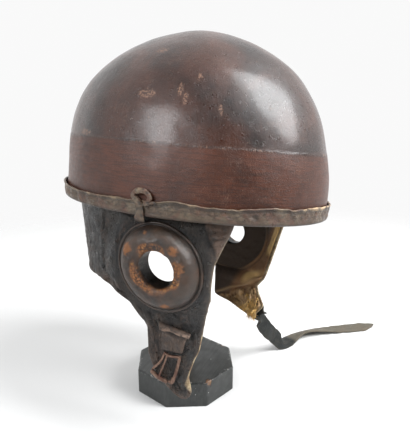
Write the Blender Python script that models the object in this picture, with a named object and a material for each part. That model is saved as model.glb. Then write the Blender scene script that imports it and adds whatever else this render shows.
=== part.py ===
"""Leather flight helmet on a plain octagonal wooden stand.

Metres, +Z up. The origin is the centre of the stand's underside on the floor.
The helmet faces -Y, its wearer's right side with the buckle is at -X, and the
chin strap hangs from the left side, at +X, down to the floor.
The helmet is modelled in its own frame, with z = 0 at the bottom of its rim,
and an empty carries it, tipped a little as it sits on the stand.
"""

import math

import bmesh
import bpy
import numpy as np
from mathutils import Euler, Matrix, Vector

# Helmet shell, measured outside
SHELL_HALF_LENGTH = 0.1290
SHELL_HALF_WIDTH = 0.1036
DOME_HEIGHT = 0.1620
SHELL_WALL = 0.0045
DOME_ROUND = 3.46
DOME_FULLNESS = 1.54
RIM_FORWARD = 0.0026
DOME_BACKWARD = 0.0033
BAND_HEIGHT = 0.0590
BAND_STEP = 0.0008
SHELL_LIFT = 0.0022
RIM_SIDES = 88

# Binding folded over the rim
BINDING_HEIGHT = 0.0142
BINDING_INNER_HEIGHT = 0.0110
BINDING_WALL = 0.0015
BINDING_BEAD = 0.0012
BINDING_WAVE = 0.0009

# Leather that hangs inside the rim
LEATHER = 0.0022
LINING = 0.0014
LINING_GAP = 0.0011
GAP = 0.0003
SLOPE_STEP = 0.0005
LINING_INSET = 0.0016
SKIRT_SIDE_INSET = 0.0068
SKIRT_FRONT_INSET = 0.0080
SKIRT_NAPE_INSET = 0.0165
SKIRT_HALF_WIDTH = SHELL_HALF_WIDTH - SKIRT_SIDE_INSET
SKIRT_FRONT_LENGTH = SHELL_HALF_LENGTH - SKIRT_FRONT_INSET
SKIRT_NAPE_LENGTH = SHELL_HALF_LENGTH - SKIRT_NAPE_INSET
NAPE_TUCK = 0.0150
FLAP_DROP = 0.1668
FLAP_REACH = 0.0730
CURTAIN_DROP = 0.0680
CURTAIN_JOIN = 0.0520
CURTAIN_GAP = 0.0009
SKIRT_TOP = 0.0080
NAPE_FOLDS = 9
NAPE_FOLD_DEPTH = 0.0011

# Ear openings and their rings
EAR_BACK_SET = 0.0183
EAR_DROP = 0.0416
EAR_TURN = math.radians(7.0)
EAR_FLAT_RADIUS = 0.0395
EAR_BLEND = 0.0220
EAR_TOP_LEVEL = -0.0060
EAR_TOP_BLEND = 0.0055
EAR_HOLE_RADIUS = 0.0172
RING_RADIUS = 0.0362
RING_HOLE_RADIUS = 0.0160
RING_HEIGHT = 0.0132
EAR_CUT_DEPTH = 0.0300

# Buckle on the near chin tongue
TAB_WALL = 0.0026
TAB_ROLL = 0.0024
BUCKLE_BAR = 0.0015

# Chin strap on the far side
STRAP_WIDTH = 0.0178
STRAP_WALL = 0.0026
STRAP_OUT = 0.2097
STRAP_FRONT = 0.1813
STRAP_LIFT = 0.0500
STRAP_SEAT = 0.0030
STRAP_POINT = (0.34, 0.58, 0.78, 0.90, 0.97)

# Tie over the binding
TIE_RADIUS = 0.0017
TIE_HEIGHT = 0.0240
TIE_FORWARD = 0.0070

# Stand
BASE_RADIUS = 0.0536
BASE_HEIGHT = 0.0259
BASE_EDGE = 0.0016
POST_RADIUS = 0.0085
TOP_RADIUS = 0.0440
TOP_HEIGHT = 0.0240
TOP_CROWN = 0.0050

# How the helmet sits on the stand
RIM_HEIGHT = 0.19875
SEAT_RIGHT = 0.0047
SEAT_FRONT = -0.0053
NOD = math.radians(2.8)
LEAN = math.radians(5.2)
STAND_TURN = math.radians(24.9)

# Each flap, top to bottom: drop as a share of FLAP_DROP, then the rear and
# front edges as shares of FLAP_REACH behind (+) or ahead (-) of the middle
FLAP_OUTLINE = {
    "right": (
        ("drop", "rear", "front"),
        (-0.048, 0.712, -1.020),
        (0.000, 0.712, -1.004),
        (0.036, 0.712, -0.985),
        (0.105, 0.712, -0.936),
        (0.214, 0.712, -0.862),
        (0.300, 0.705, -0.850),
        (0.375, 0.690, -0.845),
        (0.408, 0.589, -0.834),
        (0.418, 0.388, -0.828),
        (0.441, 0.208, -0.815),
        (0.463, 0.110, -0.806),
        (0.500, 0.047, -0.780),
        (0.560, -0.047, -0.755),
        (0.600, -0.077, -0.745),
        (0.690, -0.083, -0.715),
        (0.750, -0.088, -0.662),
        (0.828, -0.145, -0.610),
        (0.860, -0.180, -0.596),
        (0.907, -0.264, -0.620),
        (0.945, -0.345, -0.634),
        (0.967, -0.400, -0.625),
        (0.994, -0.490, -0.590),
    ),
    "left": (
        ("drop", "rear", "front"),
        (-0.048, 0.712, -1.200),
        (0.000, 0.712, -1.186),
        (0.036, 0.712, -1.172),
        (0.158, 0.712, -1.123),
        (0.265, 0.705, -1.060),
        (0.361, 0.695, -1.005),
        (0.400, 0.640, -0.985),
        (0.412, 0.480, -0.977),
        (0.422, 0.330, -0.972),
        (0.444, 0.190, -0.958),
        (0.490, 0.060, -0.930),
        (0.537, 0.000, -0.889),
        (0.570, -0.020, -0.830),
        (0.590, -0.030, -0.796),
        (0.632, -0.040, -0.834),
        (0.665, -0.048, -0.889),
        (0.705, -0.058, -0.948),
        (0.716, -0.075, -0.938),
        (0.733, -0.170, -0.915),
        (0.744, -0.330, -0.890),
        (0.770, -0.510, -0.850),
        (0.788, -0.615, -0.825),
        (0.800, -0.690, -0.800),
    ),
}

# Half width of the hanging leather by drop, as shares of SKIRT_HALF_WIDTH
FLAP_TUCK = {
    "right": (
        ("drop", "half"),
        (-0.10, 1.000),
        (0.06, 1.000),
        (0.25, 0.990),
        (0.41, 0.975),
        (0.59, 0.925),
        (0.83, 0.862),
        (1.07, 0.810),
    ),
    "left": (
        ("drop", "half"),
        (-0.10, 0.955),
        (0.06, 0.955),
        (0.25, 0.948),
        (0.41, 0.935),
        (0.59, 0.905),
        (0.83, 0.835),
        (1.07, 0.780),
    ),
}

# Where each ear stands out from the middle, as a share of SKIRT_HALF_WIDTH
EAR_STAND = {"right": 0.992, "left": 0.948}

# Soft folds across each flap: place by drop and by reach, height of the
# fold and its two half lengths, as shares of FLAP_DROP and FLAP_REACH
FLAP_FOLDS = {
    "right": (
        ("drop", "reach", "height", "tall", "wide"),
        (0.345, 0.560, 0.0100, 0.020, 0.200),
        (0.385, 0.480, -0.0090, 0.018, 0.220),
        (0.200, 0.640, 0.0110, 0.160, 0.050),
        (0.470, -0.240, -0.0060, 0.030, 0.300),
    ),
    "left": (
        ("drop", "reach", "height", "tall", "wide"),
        (0.520, -0.450, 0.0110, 0.024, 0.420),
        (0.570, -0.420, -0.0130, 0.024, 0.400),
        (0.640, -0.520, 0.0100, 0.030, 0.120),
        (0.690, -0.650, -0.0090, 0.030, 0.100),
        (0.700, -0.340, 0.0090, 0.026, 0.160),
    ),
}

# Ring section from its hole outwards: radius and height as shares
RING_SECTION = (
    ("radius", "height"),
    (RING_HOLE_RADIUS / RING_RADIUS, 0.00),
    (RING_HOLE_RADIUS / RING_RADIUS, 0.66),
    (0.492, 0.88),
    (0.572, 0.99),
    (0.680, 1.00),
    (0.790, 0.88),
    (0.890, 0.62),
    (0.965, 0.30),
    (1.000, 0.13),
    (1.066, 0.11),
    (1.070, 0.00),
)

# Tab corners on the flap: drop and reach as shares
TAB_CORNERS = (
    ("drop", "reach"),
    (0.535, -0.268),
    (0.595, -0.612),
    (0.712, -0.536),
    (0.706, -0.238),
)

# Buckle frame corners on the flap: drop and reach as shares
BUCKLE_CORNERS = (
    ("drop", "reach"),
    (0.733, -0.270),
    (0.852, -0.130),
    (0.897, -0.345),
    (0.872, -0.432),
    (0.744, -0.500),
)

# Strap where it lies on the outside of the left flap, by the flap's shares,
# and how far it stands off there as a share of STRAP_SEAT
STRAP_SEAT_RUN = (
    ("drop", "reach", "seat"),
    (0.640, -0.640, 0.04),
    (0.695, -0.725, 0.62),
    (0.750, -0.815, 0.92),
    (0.785, -0.850, 1.00),
)

# Free strap: out and front as shares of STRAP_OUT and STRAP_FRONT, lift as a
# share of STRAP_LIFT, and the roll of its width about its run in degrees
STRAP_RUN = (
    ("out", "front", "lift", "roll"),
    (0.336, 0.3490, 1.000, -68.0),
    (0.380, 0.3800, 0.700, -76.0),
    (0.455, 0.4120, 0.385, -84.0),
    (0.505, 0.4350, 0.165, -112.0),
    (0.550, 0.4560, 0.050, -158.0),
    (0.605, 0.4770, 0.045, -182.0),
    (0.665, 0.5100, 0.075, -198.0),
    (0.715, 0.5650, 0.110, -205.0),
    (0.775, 0.6400, 0.085, -196.0),
    (0.845, 0.7480, 0.045, -182.0),
    (0.905, 0.8570, 0.038, -176.0),
    (0.950, 0.9360, 0.045, -172.0),
    (1.000, 1.0000, 0.062, -170.0),
)

# Tie path over the binding: along the rim and up, as shares of TIE_HEIGHT
TIE_PATH = (
    ("along", "up"),
    (0.110, -0.160),
    (0.120, 0.150),
    (0.215, 0.420),
    (0.275, 0.680),
    (0.160, 0.900),
    (-0.060, 0.900),
    (-0.170, 0.700),
    (-0.130, 0.460),
    (-0.085, 0.200),
    (-0.080, -0.160),
)

SIDE = {"right": -1.0, "left": 1.0}


def columns(table):
    """A table's columns as arrays by name."""
    rows = np.array(table[1:], float)
    return {name: rows[:, i] for i, name in enumerate(table[0])}


def clear_scene():
    """Remove every object that the scene starts with."""
    for obj in list(bpy.data.objects):
        bpy.data.objects.remove(obj)


def material(name, colour, roughness, metallic=0.0):
    """A plain material of one colour."""
    made = bpy.data.materials.new(name)
    made.use_nodes = True
    shader = made.node_tree.nodes["Principled BSDF"]
    shader.inputs["Base Color"].default_value = (*colour, 1.0)
    shader.inputs["Roughness"].default_value = roughness
    shader.inputs["Metallic"].default_value = metallic
    made.diffuse_color = (*colour, 1.0)
    return made


def finish(name, mesh, look, parent=None, sharp=50.0):
    """Place a bmesh in the scene as a named object with its material."""
    bmesh.ops.recalc_face_normals(mesh, faces=mesh.faces[:])
    data = bpy.data.meshes.new(name)
    mesh.to_mesh(data)
    mesh.free()
    data.materials.append(look)
    data.shade_smooth()
    data.set_sharp_from_angle(angle=math.radians(sharp))
    obj = bpy.data.objects.new(name, data)
    bpy.context.scene.collection.objects.link(obj)
    obj.parent = parent
    return obj


def loft(rings, cyclic=False, start_pole=None, end_pole=None, caps=False):
    """Bridge rings of equal length into one closed bmesh."""
    mesh = bmesh.new()
    made = [[mesh.verts.new(Vector(p)) for p in ring] for ring in rings]
    pairs = list(zip(made[:-1], made[1:]))
    if cyclic:
        pairs.append((made[-1], made[0]))
    for low, high in pairs:
        for i in range(len(low)):
            j = (i + 1) % len(low)
            mesh.faces.new((low[i], low[j], high[j], high[i]))
    for ring, pole in ((made[0], start_pole), (made[-1], end_pole)):
        if pole is None:
            continue
        tip = mesh.verts.new(Vector(pole))
        for i in range(len(ring)):
            mesh.faces.new((ring[i], ring[(i + 1) % len(ring)], tip))
    if caps:
        mesh.faces.new(made[0])
        mesh.faces.new(made[-1])
    return mesh


def ellipse(half_x, half_y, z, count, centre_y=0.0):
    """Points round a level ellipse."""
    angles = np.linspace(0.0, 2.0 * math.pi, count, endpoint=False)
    return [(half_x * math.cos(a), centre_y + half_y * math.sin(a), z) for a in angles]


def dome_share(level):
    """How wide the dome is at this share of its height, as a share of its rim."""
    return max(0.0, 1.0 - level**DOME_ROUND) ** (1.0 / DOME_FULLNESS)


def dome_centre(level):
    """Where the dome's centre line lies, ahead of the middle at the rim."""
    above = min(max((level - 0.1) / 0.9, 0.0), 1.0)
    return DOME_BACKWARD * math.sin(math.pi * above) ** 2 - RIM_FORWARD


def build_shell(look, parent):
    """The hollow dome, with a step where the lower band overlaps the crown."""
    band = BAND_HEIGHT / DOME_HEIGHT
    start = SHELL_LIFT / DOME_HEIGHT
    upper = 1.0 - (1.0 - np.linspace(0.0, 1.0, 11)[1:-1]) ** 2.2 * (1.0 - band)
    outer = [(v, BAND_STEP) for v in np.linspace(start, band, 4)]
    outer += [(band + 0.006, 0.0)] + [(v, 0.0) for v in upper]
    inner = [v for v, _ in outer[:4]] + list(upper)
    count = RIM_SIDES // 2
    rings = []
    top = DOME_HEIGHT - SHELL_WALL
    for v in reversed(inner):
        k = dome_share(v)
        z = max(v * top, SHELL_LIFT)
        inside_x, inside_y = (SHELL_HALF_WIDTH - SHELL_WALL) * k, (SHELL_HALF_LENGTH - SHELL_WALL) * k
        rings.append(ellipse(inside_x, inside_y, z, count, dome_centre(v)))
    for v, step in outer:
        k = dome_share(v)
        z = v * DOME_HEIGHT
        outside_x, outside_y = SHELL_HALF_WIDTH * k + step, SHELL_HALF_LENGTH * k + step
        rings.append(ellipse(outside_x, outside_y, z, count, dome_centre(v)))
    tip = dome_centre(1.0)
    mesh = loft(rings, start_pole=(0, tip, top), end_pole=(0, tip, DOME_HEIGHT))
    return finish("shell", mesh, look, parent)


def binding_top(angle):
    """Height of the binding's outer edge round the rim."""
    wave = math.sin(5.0 * angle + 0.4) + 0.6 * math.sin(11.0 * angle + 1.9)
    return BINDING_HEIGHT + BINDING_WAVE * wave


def build_binding(look, parent):
    """Leather folded over the rim, clear of the shell inside the fold."""
    count = RIM_SIDES
    outside = BAND_STEP + GAP
    inside = -(SHELL_WALL + 2.0 * GAP)
    rings = []
    for angle in np.linspace(0.0, 2.0 * math.pi, count, endpoint=False):
        top = binding_top(angle)
        wall = BINDING_WALL
        section = (
            (outside, top),
            (outside, SHELL_LIFT - GAP),
            (inside, SHELL_LIFT - GAP),
            (inside, BINDING_INNER_HEIGHT),
            (inside - wall * 0.7, BINDING_INNER_HEIGHT),
            (inside - wall * 0.9, 0.0004),
            (outside + wall * 0.4, 0.0),
            (outside + wall, 0.0020),
            (outside + wall + BINDING_BEAD * 0.5, top - 0.0005),
        )
        cx, cy = math.cos(angle), math.sin(angle)
        rings.append(
            [
                ((SHELL_HALF_WIDTH + out) * cx, (SHELL_HALF_LENGTH + out) * cy - RIM_FORWARD, z)
                for out, z in section
            ]
        )
    return finish("rim_binding", loft(rings, cyclic=True), look, parent)


def skirt_half(side, y, z):
    """Distance of the hanging leather's outer face from the middle plane."""
    tuck = columns(FLAP_TUCK[side])
    drop = -z / FLAP_DROP
    half = SKIRT_HALF_WIDTH * np.interp(drop, tuck["drop"], tuck["half"])
    nape = SKIRT_NAPE_LENGTH - NAPE_TUCK * np.clip(-z / CURTAIN_DROP, 0.0, 1.0)
    length = np.where(np.asarray(y) > 0.0, nape, SKIRT_FRONT_LENGTH)
    share = np.clip(1.0 - (y / length) ** 2, 0.0, 1.0)
    hang = half * np.sqrt(share)
    flat = EAR_STAND[side] * SKIRT_HALF_WIDTH + (y + EAR_BACK_SET) * math.tan(EAR_TURN)
    away = np.hypot(y + EAR_BACK_SET, z + EAR_DROP)
    blend = np.clip((away - EAR_FLAT_RADIUS) / EAR_BLEND, 0.0, 1.0)
    blend = np.maximum(blend, np.clip((z - EAR_TOP_LEVEL) / EAR_TOP_BLEND, 0.0, 1.0))
    blend = blend * blend * (3.0 - 2.0 * blend)
    return flat * (1.0 - blend) + hang * blend


def skirt_face(side, y, z, lift=0.0, folds=True):
    """A point on, or lifted off, the leather's outer face."""
    def face(yy, zz):
        x = skirt_half(side, yy, zz)
        if folds:
            rows = columns(FLAP_FOLDS[side])
            for i in range(len(rows["drop"])):
                dz = (zz / -FLAP_DROP - rows["drop"][i]) / rows["tall"][i]
                dy = (yy / FLAP_REACH - rows["reach"][i]) / rows["wide"][i]
                x = x + rows["height"][i] * FLAP_DROP * math.exp(-dz * dz - dy * dy)
        return float(x)

    x = face(y, z)
    slope_y = (face(y + SLOPE_STEP, z) - face(y - SLOPE_STEP, z)) / (2.0 * SLOPE_STEP)
    slope_z = (face(y, z + SLOPE_STEP) - face(y, z - SLOPE_STEP)) / (2.0 * SLOPE_STEP)
    normal = Vector((1.0, -slope_y, -slope_z)).normalized()
    sign = SIDE[side]
    return Vector((sign * (x + lift * normal.x), y + lift * normal.y, z + lift * normal.z))


def on_flap(side, drop, reach, lift=0.0):
    """A point on a flap's outer face, by shares of its drop and reach."""
    return skirt_face(side, reach * FLAP_REACH, -drop * FLAP_DROP, lift)


def sheet(name, grid, wall, look, parent):
    """A grid of points on the outer face, given its thickness inwards."""
    mesh = bmesh.new()
    made = [[mesh.verts.new(p) for p in row] for row in grid]
    for low, high in zip(made[:-1], made[1:]):
        for i in range(len(low) - 1):
            mesh.faces.new((low[i], low[i + 1], high[i + 1], high[i]))
    bmesh.ops.recalc_face_normals(mesh, faces=mesh.faces[:])
    mesh.normal_update()
    centre = sum((v.co for v in mesh.verts), Vector()) / len(mesh.verts)
    facing = sum((f.normal.dot(Vector((centre.x, centre.y, 0.0))) for f in mesh.faces), 0.0)
    if facing < 0.0:
        bmesh.ops.reverse_faces(mesh, faces=mesh.faces[:])
    data = bpy.data.meshes.new(name)
    mesh.to_mesh(data)
    mesh.free()
    data.materials.append(look)
    data.shade_smooth()
    obj = bpy.data.objects.new(name, data)
    bpy.context.scene.collection.objects.link(obj)
    obj.parent = parent
    thick = obj.modifiers.new("thickness", "SOLIDIFY")
    thick.thickness = wall
    thick.offset = -1.0
    thick.use_even_offset = True
    return obj


def flap_grid(side, lift, inset=0.0, top=None, across=12):
    """Rows of points over a flap, from its top to its lowest end."""
    outline = columns(FLAP_OUTLINE[side])
    grid = []
    for drop, rear, front in zip(outline["drop"], outline["rear"], outline["front"]):
        if top is not None and drop < top:
            continue
        rear, front = rear - inset / FLAP_REACH, front + inset / FLAP_REACH
        row = []
        for share in np.linspace(0.0, 1.0, across):
            reach = rear + (front - rear) * share
            row.append(on_flap(side, drop, reach, lift))
        grid.append(row)
    return grid


def ear_frame(side, lift=0.0):
    """Matrix whose +Z leaves the ear opening and whose origin is on the leather."""
    sign = SIDE[side]
    centre = Vector((sign * EAR_STAND[side] * SKIRT_HALF_WIDTH, -EAR_BACK_SET, -EAR_DROP))
    out = Vector((sign, -math.tan(EAR_TURN), 0.0)).normalized()
    up = Vector((0.0, 0.0, 1.0))
    side_way = up.cross(out).normalized()
    turn = Matrix((side_way, up, out)).transposed().to_4x4()
    return Matrix.Translation(centre + out * lift) @ turn


def cut_ear(obj, side, radius):
    """Cut the round ear opening through a sheet."""
    mesh = bmesh.new()
    bmesh.ops.create_cone(
        mesh, cap_ends=True, segments=32, radius1=radius, radius2=radius, depth=EAR_CUT_DEPTH
    )
    bmesh.ops.transform(mesh, matrix=ear_frame(side), verts=mesh.verts[:])
    data = bpy.data.meshes.new(obj.name + "_ear_cutter")
    mesh.to_mesh(data)
    mesh.free()
    cutter = bpy.data.objects.new(data.name, data)
    bpy.context.scene.collection.objects.link(cutter)
    cutter.parent = obj.parent
    cutter.hide_render = True
    cutter.display_type = "WIRE"
    cut = obj.modifiers.new("ear opening", "BOOLEAN")
    cut.operation = "DIFFERENCE"
    cut.solver = "EXACT"
    cut.object = cutter


def build_flap(side, look, parent):
    """An ear flap with its opening."""
    name = side + "_ear_flap"
    obj = sheet(name, flap_grid(side, 0.0), LEATHER, look, parent)
    cut_ear(obj, side, EAR_HOLE_RADIUS)
    return obj


def build_lining(look, parent):
    """The lining inside the left flap, a little short of its edges."""
    grid = flap_grid("left", -(LEATHER + LINING_GAP), inset=LINING_INSET, top=0.0, across=12)
    obj = sheet("left_flap_lining", grid[:-1], LINING, look, parent)
    cut_ear(obj, "left", RING_HOLE_RADIUS)
    return obj


def build_ring(side, look, parent):
    """The padded ring round an ear opening."""
    section = columns(RING_SECTION)
    frame = ear_frame(side, 1.5 * GAP)
    rings = []
    for radius, height in zip(section["radius"], section["height"]):
        ring = ellipse(radius * RING_RADIUS, radius * RING_RADIUS, height * RING_HEIGHT, 34)
        rings.append([frame @ Vector(p) for p in ring])
    return finish(side + "_ear_ring", loft(rings, cyclic=True), look, parent)


def curtain_row(z, count):
    """The nape leather's outer face at one level, from the left flap round."""
    drop = -z / FLAP_DROP
    halves = []
    for one in ("left", "right"):
        tuck = columns(FLAP_TUCK[one])
        halves.append(SKIRT_HALF_WIDTH * float(np.interp(drop, tuck["drop"], tuck["half"])))
    down = min(max(-z / CURTAIN_DROP, 0.0), 1.0)
    nape = SKIRT_NAPE_LENGTH - NAPE_TUCK * down
    start = math.asin((CURTAIN_JOIN + CURTAIN_GAP) / nape)
    row = []
    for angle in np.linspace(start, math.pi - start, count):
        weight = 0.5 + 0.5 * math.cos(angle)
        half = halves[0] * weight + halves[1] * (1.0 - weight)
        inward = min(angle - start, math.pi - start - angle) / (math.pi / 2 - start)
        fold = NAPE_FOLD_DEPTH * math.sin(2.0 * NAPE_FOLDS * (angle - start)) * down
        fold *= min(1.0, 4.0 * inward)
        row.append(Vector(((half + fold) * math.cos(angle), (nape + fold) * math.sin(angle), z)))
    return row


def build_curtain(look, parent):
    """The leather round the nape, from one flap to the other."""
    levels = [SKIRT_TOP] + [-CURTAIN_DROP * share for share in (0.0, 0.25, 0.5, 0.75, 1.0)]
    grid = [curtain_row(z, 37) for z in levels]
    return sheet("neck_curtain", grid, LEATHER, look, parent)


def build_tie(look, parent):
    """A thong that comes up over the binding and loops back on itself."""
    path = columns(TIE_PATH)
    curve = bpy.data.curves.new("binding_tie", "CURVE")
    curve.dimensions = "3D"
    curve.bevel_depth = TIE_RADIUS
    curve.bevel_resolution = 1
    curve.resolution_u = 2
    curve.use_fill_caps = True
    spline = curve.splines.new("NURBS")
    spline.points.add(len(path["along"]) - 1)
    spline.use_endpoint_u = True
    spline.order_u = 3
    stand_off = BAND_STEP + GAP + BINDING_WALL + BINDING_BEAD + TIE_RADIUS - 0.0004
    for point, along, up in zip(spline.points, path["along"], path["up"]):
        y = -TIE_FORWARD + along * TIE_HEIGHT
        x = -(SHELL_HALF_WIDTH + stand_off)
        point.co = (x, y, up * TIE_HEIGHT, 1.0)
    curve.materials.append(look)
    obj = bpy.data.objects.new("binding_tie", curve)
    bpy.context.scene.collection.objects.link(obj)
    obj.parent = parent
    return obj


def build_tab(look, parent):
    """The folded leather tab that carries the buckle, thicker at its fold."""
    corners = columns(TAB_CORNERS)
    drop, reach = corners["drop"], corners["reach"]
    rings = []
    down = np.linspace(0.0, 1.0, 9)
    for u in np.linspace(0.0, 1.0, 7):
        upper, lower = [], []
        for v in down:
            d = (drop[0] * (1 - u) + drop[1] * u) * (1 - v) + (drop[3] * (1 - u) + drop[2] * u) * v
            r = (reach[0] * (1 - u) + reach[1] * u) * (1 - v) + (reach[3] * (1 - u) + reach[2] * u) * v
            roll = TAB_ROLL * math.exp(-((v - 0.08) / 0.11) ** 2)
            upper.append(on_flap("right", d, r, 2.0 * GAP + TAB_WALL + roll))
            lower.append(on_flap("right", d, r, 2.0 * GAP))
        rings.append(upper + lower[::-1])
    return finish("buckle_tab", loft(rings, caps=True), look, parent)


def build_buckle(look, parent):
    """The buckle's metal frame, lying on the flap below its tab."""
    corners = columns(BUCKLE_CORNERS)
    centres = [
        on_flap("right", d, r, GAP + 0.0003 + BUCKLE_BAR)
        for d, r in zip(corners["drop"], corners["reach"])
    ]
    count = len(centres)
    rings = []
    middle = sum(centres, Vector()) / count
    out = (on_flap("right", 0.80, -0.34, 0.01) - on_flap("right", 0.80, -0.34, 0.0)).normalized()
    for i, here in enumerate(centres):
        before, after = centres[i - 1], centres[(i + 1) % count]
        for share in (0.16, 0.5, 0.84):
            start = here.lerp(before, 0.16)
            end = here.lerp(after, 0.16)
            point = start.lerp(here, share).lerp(here.lerp(end, share), share)
            run = (here - start).lerp(end - here, share).normalized()
            wide = run.cross(out).normalized()
            rings.append(
                [
                    point + (wide * math.cos(a) + out * math.sin(a)) * BUCKLE_BAR
                    for a in np.linspace(0.0, 2.0 * math.pi, 8, endpoint=False)
                ]
            )
    return finish("buckle_frame", loft(rings, cyclic=True), look, parent)


def smooth_run(values, count):
    """Evenly spaced samples on a smooth curve through the given values."""
    values = np.asarray(values, float)
    last = len(values) - 1
    padded = np.vstack([2 * values[0] - values[1], values, 2 * values[-1] - values[-2]])
    made = []
    for t in np.linspace(0.0, last, count):
        i = min(int(t), last - 1)
        f = t - i
        a, b, c, d = padded[i : i + 4]
        made.append(
            0.5 * (2 * b + (c - a) * f + (2 * a - 5 * b + 4 * c - d) * f**2 + (3 * b - 3 * c + d - a) * f**3)
        )
    return np.array(made)


def strap_axes(along):
    """Level and steep directions square to a strap's run."""
    along = Vector(along).normalized()
    level = along.cross(Vector((0.0, 0.0, 1.0))).normalized()
    return along, level, along.cross(level).normalized()


def strap_on_flap(helmet):
    """Places and rolls of the strap where it lies flat on the left flap."""
    lift = GAP + STRAP_WALL / 2
    seat = columns(STRAP_SEAT_RUN)
    places = [
        helmet @ on_flap("left", d, r, lift + STRAP_SEAT * s)
        for d, r, s in zip(seat["drop"], seat["reach"], seat["seat"])
    ]
    made = []
    for i, place in enumerate(places):
        low, high = max(i - 1, 0), min(i + 1, len(places) - 1)
        along, level, steep = strap_axes(places[high] - places[low])
        drop, reach = seat["drop"][i], seat["reach"][i]
        out = helmet.to_3x3() @ (on_flap("left", drop, reach, lift) - on_flap("left", drop, reach))
        wide = out.normalized().cross(along).normalized()
        roll = math.atan2(wide.dot(steep), wide.dot(level))
        made.append([*place, roll])
    return made


def build_strap(look, helmet):
    """The chin strap, from the left flap down to the floor and out to its tip."""
    run = columns(STRAP_RUN)
    points = strap_on_flap(helmet)
    for out, front, up, roll in zip(run["out"], run["front"], run["lift"], run["roll"]):
        points.append([out * STRAP_OUT, -front * STRAP_FRONT, up * STRAP_LIFT, math.radians(roll)])
    samples = smooth_run(points, 52)
    places = samples[:, :3]
    runs = np.gradient(places, axis=0)
    rings = []
    for i, (place, run_way, roll) in enumerate(zip(places, runs, samples[:, 3])):
        along, level, steep = strap_axes(run_way)
        wide = level * math.cos(roll) + steep * math.sin(roll)
        thick = along.cross(wide).normalized()
        left = len(samples) - 1 - i
        taper = STRAP_POINT[left] if left < len(STRAP_POINT) else 1.0
        half, wall = STRAP_WIDTH / 2 * taper, STRAP_WALL / 2
        ring = []
        for a, b in ((-1, -0.6), (-0.9, -1), (0.9, -1), (1, -0.6), (1, 0.6), (0.9, 1), (-0.9, 1), (-1, 0.6)):
            corner = Vector(place) + wide * half * a + thick * wall * b
            corner.z = max(corner.z, 0.0)
            ring.append(corner)
        rings.append(ring)
    return finish("chin_strap", loft(rings, caps=True), look)


def seat_height(helmet):
    """Highest level at which the stand's head stays clear of the shell."""
    inside = Vector((SHELL_HALF_WIDTH - SHELL_WALL, SHELL_HALF_LENGTH - SHELL_WALL, 0.0))
    top = DOME_HEIGHT - SHELL_WALL
    back = helmet.inverted()
    lowest = 1.0
    for radius in np.linspace(0.0, TOP_RADIUS, 9):
        sag = TOP_CROWN * (radius / TOP_RADIUS) ** 2
        for angle in np.linspace(0.0, 2.0 * math.pi, 24, endpoint=False):
            low, high = 0.0, 1.0
            for _ in range(40):
                level = (low + high) / 2
                place = Vector((radius * math.cos(angle), radius * math.sin(angle), level))
                local = back @ place
                share = min(max(local.z / top, 0.0), 1.0)
                wide = dome_share(share)
                reach = math.hypot(local.x / inside.x, (local.y - dome_centre(share)) / inside.y)
                if local.z < top and reach < wide:
                    low = level
                else:
                    high = level
            lowest = min(lowest, low + sag)
    return lowest - 0.0006


def build_stand(base_look, wood_look, helmet):
    """Octagonal base, round post and the turned head under the crown."""
    mesh = bmesh.new()
    bmesh.ops.create_cone(
        mesh, cap_ends=True, segments=8, radius1=BASE_RADIUS, radius2=BASE_RADIUS, depth=BASE_HEIGHT
    )
    lift = Matrix.Translation((0.0, 0.0, BASE_HEIGHT / 2))
    turn = Matrix.Rotation(STAND_TURN - math.pi / 8, 4, "Z")
    bmesh.ops.transform(mesh, matrix=lift @ turn, verts=mesh.verts[:])
    edges = [e for e in mesh.edges if e.verts[0].co.z + e.verts[1].co.z > BASE_HEIGHT * 0.9]
    bmesh.ops.bevel(mesh, geom=edges, offset=BASE_EDGE, segments=2, affect="EDGES", profile=0.5)
    finish("stand_base", mesh, base_look, sharp=30.0)

    top = seat_height(helmet)
    low = top - TOP_HEIGHT
    rings = [ellipse(POST_RADIUS, POST_RADIUS, z, 24) for z in (BASE_HEIGHT + GAP, low - GAP)]
    finish("stand_post", loft(rings, caps=True), wood_look)

    rings = []
    for share, height in ((0.30, 0.0), (0.62, 0.10), (0.90, 0.38), (1.0, 0.62)):
        rings.append(ellipse(TOP_RADIUS * share, TOP_RADIUS * share, low + TOP_HEIGHT * height, 32))
    for share in (1.0, 0.93, 0.75, 0.5, 0.25):
        sag = TOP_CROWN * share**2 + (0.0008 if share == 1.0 else 0.0)
        rings.append(ellipse(TOP_RADIUS * share, TOP_RADIUS * share, top - sag, 32))
    mesh = loft(rings, end_pole=(0.0, 0.0, top))
    mesh.faces.new(first_ring(mesh, 32))
    finish("stand_top", mesh, wood_look)


def first_ring(mesh, count):
    """The first ring of vertices that a loft made."""
    mesh.verts.ensure_lookup_table()
    return [mesh.verts[i] for i in range(count)]


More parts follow.
